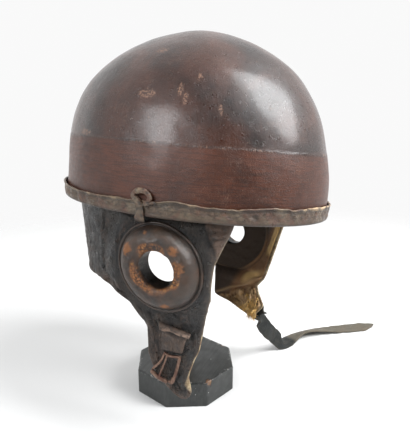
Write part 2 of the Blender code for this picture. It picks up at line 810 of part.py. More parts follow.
def main():
    clear_scene()
    crown = material("helmet leather", (0.075, 0.030, 0.022), 0.38)
    edge = material("binding leather", (0.130, 0.095, 0.070), 0.55)
    flap = material("flap leather", (0.055, 0.048, 0.043), 0.60)
    padded = material("ear ring leather", (0.115, 0.090, 0.072), 0.42)
    cloth = material("lining cloth", (0.160, 0.095, 0.045), 0.85)
    strap = material("strap leather", (0.060, 0.060, 0.058), 0.62)
    metal = material("buckle metal", (0.150, 0.090, 0.060), 0.48, 1.0)
    black = material("black painted wood", (0.040, 0.042, 0.040), 0.55)
    wood = material("stand wood", (0.230, 0.130, 0.070), 0.60)

    helmet = bpy.data.objects.new("helmet_frame", None)
    bpy.context.scene.collection.objects.link(helmet)
    helmet.location = (SEAT_RIGHT, SEAT_FRONT, RIM_HEIGHT)
    helmet.rotation_euler = (NOD, LEAN, 0.0)
    turn = Euler((NOD, LEAN, 0.0)).to_matrix().to_4x4()
    place = Matrix.Translation(helmet.location) @ turn

    build_shell(crown, helmet)
    build_binding(edge, helmet)
    build_tie(edge, helmet)
    for side in ("right", "left"):
        build_flap(side, flap, helmet)
        build_ring(side, padded, helmet)
    build_lining(cloth, helmet)
    build_curtain(flap, helmet)
    build_tab(padded, helmet)
    build_buckle(metal, helmet)
    build_strap(strap, place)
    build_stand(black, wood, place)


main()
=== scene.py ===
"""Worn leather flight helmet on its plain wooden stand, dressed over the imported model.

Metres, +Z up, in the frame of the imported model.  The helmet's pieces are worked
out in the helmet's own frame, where z = 0 is the bottom of the rim, -X is the
wearer's right side and -Y the front, and are then seated on the stand.
"""

from __future__ import annotations

import logging
import math
from dataclasses import dataclass, field
from enum import Enum

import bpy
import numpy as np
from mathutils import Matrix, Vector


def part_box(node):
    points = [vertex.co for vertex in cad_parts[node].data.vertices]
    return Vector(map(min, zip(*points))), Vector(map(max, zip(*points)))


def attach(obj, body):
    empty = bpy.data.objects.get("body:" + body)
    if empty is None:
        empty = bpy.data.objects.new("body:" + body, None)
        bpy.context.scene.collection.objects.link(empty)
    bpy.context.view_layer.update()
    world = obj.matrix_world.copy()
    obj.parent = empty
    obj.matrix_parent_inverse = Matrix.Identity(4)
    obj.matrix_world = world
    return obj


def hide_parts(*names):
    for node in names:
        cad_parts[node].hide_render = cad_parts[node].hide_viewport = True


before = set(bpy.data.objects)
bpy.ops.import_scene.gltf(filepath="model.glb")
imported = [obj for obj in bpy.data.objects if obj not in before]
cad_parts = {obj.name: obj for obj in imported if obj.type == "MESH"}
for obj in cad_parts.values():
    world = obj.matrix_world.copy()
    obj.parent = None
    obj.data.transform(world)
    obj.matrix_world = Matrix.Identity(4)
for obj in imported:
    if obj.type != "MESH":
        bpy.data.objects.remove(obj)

LOG = logging.getLogger("helmet")
GAP = 0.0003
LEATHER = 0.0022
Array = np.ndarray
Look = bpy.types.Material
Tree = bpy.types.NodeTree


class Side(Enum):
    """The wearer's side that a piece belongs to."""

    RIGHT = "right"
    LEFT = "left"

    @property
    def sign(self) -> float:
        """Minus one on the right, plus one on the left."""
        return -1.0 if self is Side.RIGHT else 1.0


# Numbers


def columns(table: tuple) -> dict[str, Array]:
    """Read a table with named columns.

    Args:
        table: A row of names, then rows of numbers.

    Returns:
        One array for each name.
    """
    rows = np.array(table[1:], float)
    return {name: rows[:, i] for i, name in enumerate(table[0])}


def cut(value: Array) -> Array:
    """The value, or 0 below 0 and 1 above 1."""
    return np.clip(value, 0.0, 1.0)


def turns(count: int) -> Array:
    """Angles evenly round a whole turn, from 0."""
    return np.linspace(0.0, 2.0 * math.pi, count, endpoint=False)


def summed(steps: Array) -> Array:
    """The running total of the steps, from 0."""
    return np.concatenate([[0.0], np.cumsum(steps)])


def pack(*parts: Array) -> Array:
    """The parts side by side in a new last axis, spread to one shape."""
    return np.stack(np.broadcast_arrays(*parts), -1)


def rise(value: Array) -> Array:
    """Ease from 0 to 1, as 3 t squared less 2 t cubed of the value cut to that range."""
    t = cut(value)
    return t * t * (3.0 - 2.0 * t)


def bell(value: Array) -> Array:
    """A bell curve of height 1, e to the minus value squared."""
    return np.exp(-np.square(value))


def waves(points: Array, size: float, seed: int, octaves: int = 3) -> Array:
    """Smooth noise as a sum of sine waves in seeded directions.

    Args:
        points: Places, with their coordinates in the last axis.
        size: Length of the longest waves, in metres.
        seed: Seed of the directions and phases.
        octaves: How many times the waves are halved.

    Returns:
        Values about zero, mostly between -1 and 1.
    """
    rng = np.random.default_rng(seed)
    total = np.zeros(points.shape[:-1])
    for octave in range(octaves):
        way = rng.normal(size=(points.shape[-1], 7))
        way /= np.linalg.norm(way, axis=0)
        phase = rng.uniform(0.0, 2.0 * math.pi, 7)
        turn = 2.0 * math.pi / size * 2.0 ** octave
        total += np.sin(points @ way * turn + phase).sum(-1) * 0.5 ** octave / 2.6
    return total


def creases(across: Array, down: Array, long: float, short: float, turn: float, seed: int) -> Array:
    """Wandering creases, where a stretched noise crosses zero.

    The value is e to the minus noise over 0.2 squared, so it's 1 along thin
    lines that run mostly one way.

    Args:
        across: First coordinate in the sheet, in metres.
        down: Second coordinate in the sheet, in metres.
        long: Length of a crease.
        short: Distance between creases.
        turn: Direction of the creases from the first coordinate, in degrees.
        seed: Seed of the noise.

    Returns:
        Values from 0 to 1.
    """
    c, s = math.cos(math.radians(turn)), math.sin(math.radians(turn))
    run = (across * c + down * s) / long
    step = (down * c - across * s) / short
    noise = waves(pack(run, step), 1.6, seed, 2)
    return bell(noise / 0.2)


def eased(place: Array, at: Array, value: Array, width: float) -> Array:
    """Interpolate a column and round its corners off.

    The straight interpolation is averaged under a bell of the given width.

    Args:
        place: Where to read it.
        at: The column's places, rising.
        value: The column's values.
        width: Half width of the rounding, in the unit of the places.

    Returns:
        The rounded values.
    """
    shifts = np.linspace(-2.0, 2.0, 17)
    weights = bell(shifts)
    total = sum((w * np.interp(place + k * width, at, value) for k, w in zip(shifts, weights)))
    return total / weights.sum()


def smooth_run(values: Array, count: int) -> Array:
    """Evenly spaced samples of the Catmull-Rom curve through the values.

    Args:
        values: The rows that the curve passes through.
        count: How many samples.

    Returns:
        The samples, as rows.
    """
    values = np.asarray(values, float)
    last = len(values) - 1
    padded = np.vstack([2 * values[0] - values[1], values, 2 * values[-1] - values[-2]])
    t = np.linspace(0.0, last, count)
    i = np.minimum(t.astype(int), last - 1)
    f = (t - i)[:, None]
    a, b, c, d = (padded[i + k] for k in range(4))
    return 0.5 * (2 * b + (c - a) * f + (2 * a - 5 * b + 4 * c - d) * f ** 2
        + (3 * b - 3 * c + d - a) * f ** 3)


def unit(vectors: Array) -> Array:
    """The vectors with length 1, along the last axis."""
    return vectors / np.maximum(np.linalg.norm(vectors, axis=-1, keepdims=True), 1e-12)


def facing(grid: Array, wrap: bool = False) -> Array:
    """Normals of a grid of points, from the cross product of its two slopes.

    Args:
        grid: Points as rows by columns by three.
        wrap: Whether the last column is next to the first.

    Returns:
        Unit normals, as many as points.
    """
    if wrap:
        wide = np.roll(grid, -1, 1) - np.roll(grid, 1, 1)
    else:
        wide = np.gradient(grid, axis=1)
    return unit(np.cross(np.gradient(grid, axis=0), wide))


# Meshes


@dataclass
class Skin:
    """A closed mesh in the making: points, faces, a UV for each corner, and marks for each point."""

    points: Array
    faces: list
    uvs: Array
    marks: dict[str, Array] = field(default_factory=dict)

    def volume(self) -> float:
        """Signed volume, a sixth of the sum of triple products over the fan of each face."""
        total = 0.0
        for size in (3, 4):
            some = np.array([f for f in self.faces if len(f) == size], int).reshape(-1, size)
            for k in range(1, size - 1):
                a, b, c = (self.points[some[:, i]] for i in (0, k, k + 1))
                total += float(np.einsum("ij,ij->", a, np.cross(b, c))) / 6.0
        return total

    def outward(self) -> "Skin":
        """Turn all faces over if the volume is negative, so that they point out."""
        if self.volume() < 0.0:
            cuts = np.cumsum([len(f) for f in self.faces])[:-1]
            self.uvs = np.concatenate([part[::-1] for part in np.split(self.uvs, cuts)])
            self.faces = [face[::-1] for face in self.faces]
        return self

    def joined(self, other: "Skin") -> "Skin":
        """Put this skin and another in one mesh.

        Args:
            other: The other skin.

        Returns:
            Both, with the marks of either 0 on the other.
        """
        count = len(self.points)
        marks = {}
        for name in {**self.marks, **other.marks}:
            mine = self.marks.get(name, np.zeros(count))
            yours = other.marks.get(name, np.zeros(len(other.points)))
            marks[name] = np.concatenate([mine, yours])
        moved = [[i + count for i in face] for face in other.faces]
        return Skin(np.vstack([self.points, other.points]), self.faces + moved,
            np.vstack([self.uvs, other.uvs]), marks)


def loft(rows: Array, u: Array, v: Array, marks: dict | None = None, wrap_rows: bool = False,
        wrap: bool = True, poles: tuple[bool, bool] = (False, False)) -> Skin:
    """Bridge rows of points with quads, and close the ends with poles where asked.

    Args:
        rows: Points as rows by columns by three.
        u: Texture place of each column, one more than the columns where they wrap.
        v: Texture place of each row, one more than the rows where they wrap.
        marks: Values for each point, as rows by columns.
        wrap_rows: Whether the last row is next to the first.
        wrap: Whether the last column is next to the first.
        poles: Whether the first and the last row close in a point.

    Returns:
        The skin, with its faces turned outwards.
    """
    n, m = rows.shape[:2]
    index = np.arange(n * m).reshape(n, m)
    i, j = np.meshgrid(np.arange(n if wrap_rows else n - 1), np.arange(m if wrap else m - 1), indexing="ij")
    i2, j2 = (i + 1) % n, (j + 1) % m
    quads = pack(index[i, j], index[i, j2], index[i2, j2], index[i2, j]).reshape(-1, 4)
    uv = np.stack([pack(u[j], v[i]), pack(u[j + 1], v[i]), pack(u[j + 1], v[i + 1]), pack(u[j], v[i + 1])],
        -2)
    uvs = [uv.reshape(-1, 2)]
    faces = quads.tolist()
    points = rows.reshape(-1, 3)
    values = {name: mark.reshape(-1) for name, mark in (marks or {}).items()}
    for at, wanted in ((0, poles[0]), (n - 1, poles[1])):
        if not wanted:
            continue
        tip = len(points)
        points = np.vstack([points, rows[at].mean(0)])
        values = {k: np.append(x, (marks or {})[k][at].mean()) for k, x in values.items()}
        ring = index[at]
        a, b = (ring, np.roll(ring, -1)) if at else (np.roll(ring, -1), ring)
        faces += pack(a, b, np.full(m, tip)).tolist()
        cu = np.arange(m)
        first, second = (u[cu], u[cu + 1]) if at else (u[cu + 1], u[cu])
        level = np.full(m, v[at])
        middle = 0.5 * (first + second)
        corner = np.stack([pack(first, level), pack(second, level), pack(middle, level)], 1)
        uvs.append(corner.reshape(-1, 2))
    return Skin(points, faces, np.vstack(uvs), values).outward()


def walled(outer: Array, inner: Array, uv: Array, marks: dict, gone: Array | None = None) -> Skin:
    """Close a sheet: its outer and inner faces, joined along every free edge.

    Args:
        outer: Outer points as rows by columns by three.
        inner: Inner points, one for each outer point.
        uv: Texture place of each point.
        marks: Values for each point, the same on both faces unless given as a pair.
        gone: True for each cell of the grid that an opening takes away.

    Returns:
        The closed skin.
    """
    n, m = outer.shape[:2]
    count = n * m
    index = np.arange(count).reshape(n, m)
    quads = pack(index[:-1, :-1], index[:-1, 1:], index[1:, 1:], index[1:, :-1])
    if gone is not None:
        quads = quads[~gone]
    quads = quads.reshape(-1, 4)
    edges = pack(quads, np.roll(quads, -1, 1)).reshape(-1, 2)
    keys = edges[:, 0] * count + edges[:, 1]
    back = edges[:, 1] * count + edges[:, 0]
    free = edges[~np.isin(keys, back)]
    sides = pack(free[:, 1], free[:, 0], free[:, 0] + count, free[:, 1] + count)
    faces = np.vstack([quads, quads[:, ::-1] + count, sides])
    flat = uv.reshape(-1, 2)
    points = np.vstack([outer.reshape(-1, 3), inner.reshape(-1, 3)])
    values = {}
    for name, mark in marks.items():
        pair = mark if isinstance(mark, tuple) else (mark, mark)
        values[name] = np.concatenate([pair[0].reshape(-1), pair[1].reshape(-1)])
    used = np.unique(faces)
    places = np.full(len(points), -1)
    places[used] = np.arange(len(used))
    uvs = np.vstack([flat, flat])[faces.reshape(-1)]
    values = {k: x[used] for k, x in values.items()}
    return Skin(points[used], places[faces].tolist(), uvs, values).outward()


def tube(path: Array, wide: Array, thick: Array, half: Array, wall: Array, squareness: float = 2.0,
        sides: int = 20, marks: dict | None = None) -> Skin:
    """Carry a rounded section along a path, and close both ends.

    The section is a superellipse: |x over half| to the squareness plus |y over
    wall| to the squareness is 1.

    Args:
        path: Centre of each section.
        wide: Unit vector along each section's width.
        thick: Unit vector along each section's thickness.
        half: Half width of each section.
        wall: Half thickness of each section.
        squareness: 2 for an ellipse, more for a flatter strip.
        sides: Points round a section.
        marks: Values for each section.

    Returns:
        The closed skin, with the mark "face" from -1 to 1 through the thickness.
    """
    angle = turns(sides)
    power = 2.0 / squareness
    cx = np.sign(np.cos(angle)) * np.abs(np.cos(angle)) ** power
    cy = np.sign(np.sin(angle)) * np.abs(np.sin(angle)) ** power
    rows = (path[:, None] + wide[:, None] * (half[:, None] * cx)[..., None]
        + thick[:, None] * (wall[:, None] * cy)[..., None])
    length = summed(np.linalg.norm(np.diff(path, axis=0), axis=1))
    values = {"face": np.broadcast_to(cy, rows.shape[:2]).copy(),
        "side": np.broadcast_to(cx, rows.shape[:2]).copy()}
    for name, mark in (marks or {}).items():
        values[name] = np.broadcast_to(mark[:, None], rows.shape[:2]).copy()
    round_about = np.linspace(0.0, 4.0 * float(half.mean()), sides + 1)
    return loft(rows, round_about, length, values, poles=(True, True))


@dataclass(frozen=True)
class Pose:
    """How the helmet sits on the stand."""

    seat: tuple[float, float, float] = (0.0047, -0.0053, 0.19875)
    nod: float = math.radians(2.8)
    lean: float = math.radians(5.2)

    def turn(self) -> Array:
        """The helmet's turn, first about X and then about Y, as a 3 by 3 array."""
        c, s = math.cos(self.nod), math.sin(self.nod)
        nod = np.array([[1, 0, 0], [0, c, -s], [0, s, c]])
        c, s = math.cos(self.lean), math.sin(self.lean)
        return np.array([[c, 0, s], [0, 1, 0], [-s, 0, c]]) @ nod

    def place(self, points: Array) -> Array:
        """Points of the helmet's own frame, in the row frame."""
        return points @ self.turn().T + np.array(self.seat)

    def spot(self, x: float, y: float, z: float) -> tuple[float, float, float]:
        """One point of the helmet's own frame, given in millimetres, in the row frame."""
        return tuple((float(k) for k in self.place(np.array([x, y, z]) / 1000.0)))


POSE = Pose()


def make_piece(name: str, skin: Skin, look: Look, nodes: tuple[str, ...],
        seated: bool = True) -> bpy.types.Object:
    """Put a skin into the scene as a piece that stands for CAD nodes.

    Args:
        name: The piece's name.
        skin: Its mesh.
        look: Its material.
        nodes: The CAD nodes that it replaces.
        seated: Whether the skin is in the helmet's own frame.

    Returns:
        The object.
    """
    points = POSE.place(skin.points) if seated else skin.points
    mesh = bpy.data.meshes.new(name)
    mesh.from_pydata(points.tolist(), [], skin.faces)
    layer = mesh.uv_layers.new(name="UVMap")
    layer.data.foreach_set("uv", skin.uvs.astype(np.float32).ravel())
    for mark, values in skin.marks.items():
        attribute = mesh.attributes.new(mark, "FLOAT", "POINT")
        attribute.data.foreach_set("value", values.astype(np.float32))
    mesh.shade_smooth()
    mesh.materials.append(look)
    mesh.validate()
    mesh.update()
    obj = bpy.data.objects.new(name, mesh)
    bpy.context.scene.collection.objects.link(obj)
    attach(obj, "root")
    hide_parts(*nodes)
    LOG.info("%s: %d faces", name, len(mesh.polygons))
    return obj


# Shader nodes


class Wire:
    """A shader value that stands in formulas: each sum on it adds a Math node."""

    def __init__(self, nodes: "Nodes", socket: bpy.types.NodeSocket) -> None:
        """Hold an output of a node."""
        self.nodes, self.socket = nodes, socket

    def other(self, name: int | str) -> Wire:
        """Another output of the same node."""
        return Wire(self.nodes, self.socket.node.outputs[name])

    def __add__(self, value: Value) -> Wire:
        """The sum."""
        return self.nodes.math("ADD", self, value)

    def __sub__(self, value: Value) -> Wire:
        """The difference."""
        return self.nodes.math("SUBTRACT", self, value)

    def __rsub__(self, value: Value) -> Wire:
        """A number less this one."""
        return self.nodes.math("SUBTRACT", value, self)

    def __mul__(self, value: Value) -> Wire:
        """The product."""
        return self.nodes.math("MULTIPLY", self, value)

    def __truediv__(self, value: Value) -> Wire:
        """The quotient."""
        return self.nodes.math("DIVIDE", self, value)

    def __or__(self, value: Value) -> Wire:
        """The larger of the two."""
        return self.nodes.math("MAXIMUM", self, value)

    def __ror__(self, value: Value) -> Wire:
        """The larger of a number and this."""
        return self.nodes.math("MAXIMUM", value, self)

    def __abs__(self) -> Wire:
        """The size without its sign."""
        return self.nodes.math("ABSOLUTE", self)


Value = float | tuple | Wire


class Nodes:
    """Short calls that add and join the nodes of one tree."""

    def __init__(self, tree: Tree) -> None:
        """Work on this tree."""
        self.tree = tree

    def give(self, socket: bpy.types.NodeSocket, value: Value) -> None:
        """Set a socket to a value, or join it to a wire."""
        if isinstance(value, Wire):
            self.tree.links.new(value.socket, socket)
        elif isinstance(value, tuple) and len(value) == 3 and (socket.type == "RGBA"):
            socket.default_value = (*value, 1.0)
        else:
            socket.default_value = value

    def add(self, kind: str, settings: dict | None = None, *given: tuple, **inputs: Value) -> Wire:
        """Add a node.

        Args:
            kind: The node's type, without its usual prefix.
            settings: Its own options.
            given: Pairs of an input's place and its value or wire.
            inputs: Values or wires by the input's name, spaces written as underscores.

        Returns:
            Its first output.
        """
        node = self.tree.nodes.new("ShaderNode" + kind)
        for name, value in (settings or {}).items():
            setattr(node, name, value)
        for name, value in (*given, *inputs.items()):
            self.give(node.inputs[name.replace("_", " ") if isinstance(name, str) else name], value)
        return Wire(self, node.outputs[0])

    def math(self, operation: str, a: Value, b: Value = 0.0, clamp: bool = False) -> Wire:
        """The result of a sum on one or two values."""
        return self.add("Math", {"operation": operation, "use_clamp": clamp}, (0, a), (1, b))

    def vector(self, operation: str, a: Value, b: Value = (0.0, 0.0, 0.0)) -> Wire:
        """A sum on one or two vectors, or their one value where the sum has one."""
        single = operation in ("LENGTH", "DOT_PRODUCT")
        given = ((0, a),) if operation == "LENGTH" else ((0, a), (1, b))
        made = self.add("VectorMath", {"operation": operation}, *given)
        return made.other(1) if single else made

    def mix(self, factor: Value, a: Value, b: Value) -> Wire:
        """A colour between two colours."""
        return self.add("Mix", {"data_type": "RGBA"}, (0, factor), (6, a), (7, b)).other(2)

    def span(self, value: Value, low: Value, high: Value, start: Value = 0.0, end: Value = 1.0) -> Wire:
        """A value eased from one range to another, and held at its ends."""
        given = enumerate((value, low, high, start, end))
        return self.add("MapRange", {"interpolation_type": "SMOOTHSTEP"}, *given)

    def noise(self, vector: Value, scale: Value, detail: float = 3.0, rough: float = 0.55,
            bend: float = 0.0) -> Wire:
        """Noise from 0 to 1 at a scale given in waves for each metre."""
        return self.add("TexNoise", None, Vector=vector, Scale=scale, Detail=detail, Roughness=rough,
            Distortion=bend)

    def mark(self, name: str) -> Wire:
        """A mark of the mesh."""
        return self.add("Attribute", {"attribute_name": name}).other("Fac")

    def group(self, made: Tree, **inputs: Value) -> Wire:
        """Place a node group with its own values, and give its first output."""
        return self.add("Group", {"node_tree": made}, **inputs)


VECTORS = ("Vector", "UV", "Centre", "Stretch")


def new_group(name: str, inputs: str, outputs: str) -> tuple:
    """Start a shader node group with named sockets.

    Args:
        name: The group's name.
        inputs: Names of the inputs. Those that are in VECTORS are vectors, the others values.
        outputs: Names of the outputs, which are values.

    Returns:
        The group, its node helper, its inputs as wires, and its outputs.
    """
    made = bpy.data.node_groups.new(name, "ShaderNodeTree")
    for socket in inputs.split():
        kind = "NodeSocketVector" if socket in VECTORS else "NodeSocketFloat"
        made.interface.new_socket(name=socket, in_out="INPUT", socket_type=kind)
    for socket in outputs.split():
        made.interface.new_socket(name=socket, in_out="OUTPUT", socket_type="NodeSocketFloat")
    n = Nodes(made)
    start, end = (made.nodes.new("NodeGroup" + side) for side in ("Input", "Output"))
    return made, n, [Wire(n, start.outputs[socket]) for socket in inputs.split()], end.inputs


class Effects:
    """The shared effects, each built once as a node group."""

    def __init__(self) -> None:
        """Build every group."""
        self.grain = self.build_grain()
        self.patches = self.build_patches()
        self.spot = self.build_spot()
        self.scratches = self.build_scratches()
        self.cracks = self.build_cracks()
        self.stitches = self.build_stitches()
        self.weave = self.build_weave()
        self.wood = self.build_wood()

    def build_grain(self) -> Tree:
        """Pebbled leather: cells with sunk borders, pores, and a slow swell."""
        made, n, (at, scale), out = new_group("Leather grain", "Vector Cells", "Height Borders")
        warped = n.vector("ADD", at, n.noise(at, 260.0, 2.0) * 0.0022)
        cells = n.add("TexVoronoi", {"feature": "DISTANCE_TO_EDGE"}, Vector=warped, Scale=scale)
        borders = n.span(cells, 0.0, 0.16)
        fine, slow = n.noise(at, scale * 3.2, 3.0, 0.65), n.noise(at, scale * 0.22, 3.0)
        n.give(out["Height"], borders * 0.45 + fine * 0.4 + slow * 0.5)
        n.give(out["Borders"], 1.0 - borders)
        return made

    def build_patches(self) -> Tree:
        """Cloudy patches that cover a given share of the surface."""
        made, n, (at, scale, cover, soft), out = new_group("Patches", "Vector Scale Cover Soft", "Mask")
        middle = (1.0 - cover) * 0.5 + 0.25
        n.give(out["Mask"], n.span(n.noise(at, scale, 5.0, 0.6, 0.6), middle - soft, middle + soft))
        return made

    def build_spot(self) -> Tree:
        """A ragged spot round a place, longer one way where it's stretched."""
        names = "Vector Centre Radius Stretch Ragged"
        made, n, (at, centre, radius, stretch, ragged), out = new_group("Spot", names, "Mask")
        away = n.vector("MULTIPLY", n.vector("SUBTRACT", at, centre), stretch)
        share = n.vector("LENGTH", away) / radius + (n.noise(at, 420.0, 4.0, 0.7) - 0.5) * ragged
        n.give(out["Mask"], n.span(share, 0.55, 1.05, 1.0, 0.0))
        return made

    def build_scratches(self) -> Tree:
        """Fine scratches along one direction, broken up by a cloud."""
        made, n, (at, stretch, cover), out = new_group("Scratches", "Vector Stretch Cover", "Mask")
        lines = n.noise(n.vector("MULTIPLY", at, stretch), 1.0, 2.0, 0.5, 0.4)
        thin = n.span(abs(lines - 0.5), 0.004, 0.022, 1.0, 0.0)
        low = 0.86 - cover * 0.5
        n.give(out["Mask"], thin * n.span(n.noise(at, 46.0, 3.0), low, low + 0.1))
        return made

    def build_cracks(self) -> Tree:
        """A net of fine cracks, wider where the given amount is larger."""
        made, n, (at, scale, amount), out = new_group("Cracks", "Vector Scale Amount", "Mask")
        warped = n.vector("ADD", at, n.noise(at, 300.0, 3.0, 0.6) * 0.004)
        cells = n.add("TexVoronoi", {"feature": "DISTANCE_TO_EDGE"}, Vector=warped, Scale=scale)
        n.give(out["Mask"], n.span(cells, 0.0, amount * 0.16 + 0.001, 1.0, 0.0))
        return made

    def build_stitches(self) -> Tree:
        """A row of stitches along a level line of the UV map, which is in metres."""
        made, n, (uv, level, pitch, width), out = new_group("Stitches", "UV Level Pitch Width", "Mask Hole")
        u = n.add("SeparateXYZ", None, Vector=uv)
        beat = abs(n.math("FRACT", u / pitch) - 0.5)
        line = n.span(abs(u.other(1) - level) / width, 0.5, 1.0, 1.0, 0.0)
        n.give(out["Mask"], line * n.span(beat, 0.26, 0.36, 1.0, 0.0))
        n.give(out["Hole"], line * n.span(beat, 0.38, 0.46))
        return made

    def build_weave(self) -> Tree:
        """Plain weave on the UV map in metres, threads over and under in turn."""
        made, n, (uv, thread), out = new_group("Weave", "UV Thread", "Height")
        u = n.add("SeparateXYZ", None, Vector=n.vector("DIVIDE", uv, thread))
        warp, weft = (abs(n.math("SINE", way * math.pi)) for way in (u, u.other(1)))
        over = n.math("PINGPONG", n.math("FLOOR", u) + n.math("FLOOR", u.other(1)), 1.0)
        n.give(out["Height"], warp * over + weft * (1.0 - over))
        return made

    def build_wood(self) -> Tree:
        """Long fibres and slow rings of planed wood."""
        made, n, (at, stretch), out = new_group("Wood fibres", "Vector Stretch", "Height Rings")
        drawn = n.vector("MULTIPLY", at, stretch)
        n.give(out["Height"], n.noise(drawn, 1.0, 5.0, 0.65, 0.3))
        rings = n.noise(n.vector("MULTIPLY", drawn, (0.16, 0.16, 0.16)), 1.0, 2.0, 0.5, 1.2)
        n.give(out["Rings"], n.math("FRACT", rings * 7.0))
        return made


@dataclass
class Finish:
    """A material in the making, with its own shader and the shared effects."""

    name: str
    effects: Effects
    roughness: float = 0.6

    def __post_init__(self) -> None:
        """Make the material with its Principled shader."""
        self.made = bpy.data.materials.new(self.name)
        self.made.use_nodes = True
        self.n = Nodes(self.made.node_tree)
        self.shader = self.made.node_tree.nodes["Principled BSDF"]
        self.shader.inputs["Roughness"].default_value = self.roughness
        texture = self.n.add("TexCoord")
        self.at, self.uv = texture.other("Object"), texture.other("UV")
        self.colour: Value = (0.0, 0.0, 0.0)

    def patches(self, scale: float, cover: float, soft: float = 0.08) -> Wire:
        """Cloudy patches over this surface."""
        return self.n.group(self.effects.patches, Vector=self.at, Scale=scale, Cover=cover, Soft=soft)

    def spot(self, centre: tuple, radius: float, stretch: tuple = (1.0, 1.0, 1.0),
            ragged: float = 0.5) -> Wire:
        """A ragged spot at a place of the row frame."""
        return self.n.group(self.effects.spot, Vector=self.at, Centre=centre, Radius=radius,
            Stretch=stretch, Ragged=ragged)

    def finish(self, roughness: Wire | None, height: Wire, strength: float,
            distance: float = 0.0006) -> Look:
        """Join the colour that was laid, the roughness and the height to the shader.

        Args:
            roughness: Roughness over the surface, or none where it's the same all over.
            height: Height for the bump.
            strength: Strength of the bump.
            distance: Depth that the height stands for.

        Returns:
            The material.
        """
        self.set(Base_Color=self.colour)
        if roughness is not None:
            self.set(Roughness=roughness)
        self.set(Normal=self.n.add("Bump", None, Height=height, Strength=strength, Distance=distance))
        return self.made

    def grain(self, cells: float) -> Wire:
        """Pebbled leather over this surface."""
        return self.n.group(self.effects.grain, Vector=self.at, Cells=cells)

    def cloud(self, scale: float, low: float, high: float, detail: float = 4.0,
            rough: float = 0.55) -> Wire:
        """Clouds over this surface, from 0 at the noise's low level to 1 at its high one."""
        return self.n.span(self.n.noise(self.at, scale, detail, rough), low, high)

    def gloss(self, scale: float, low: float, high: float, detail: float = 4.0,
            rough: float = 0.55) -> Wire:
        """Roughness that goes between two values in clouds."""
        return self.n.span(self.n.noise(self.at, scale, detail, rough), 0.3, 0.7, low, high)

    def lay(self, mask: Value, over: Value) -> None:
        """Lay a colour over the one so far, where the mask is 1."""
        self.colour = self.n.mix(mask, self.colour, over)

    def set(self, **values: Value) -> None:
        """Give the shader's own sockets their values."""
        for name, value in values.items():
            self.n.give(self.shader.inputs[name.replace("_", " ")], value)


# Finishes


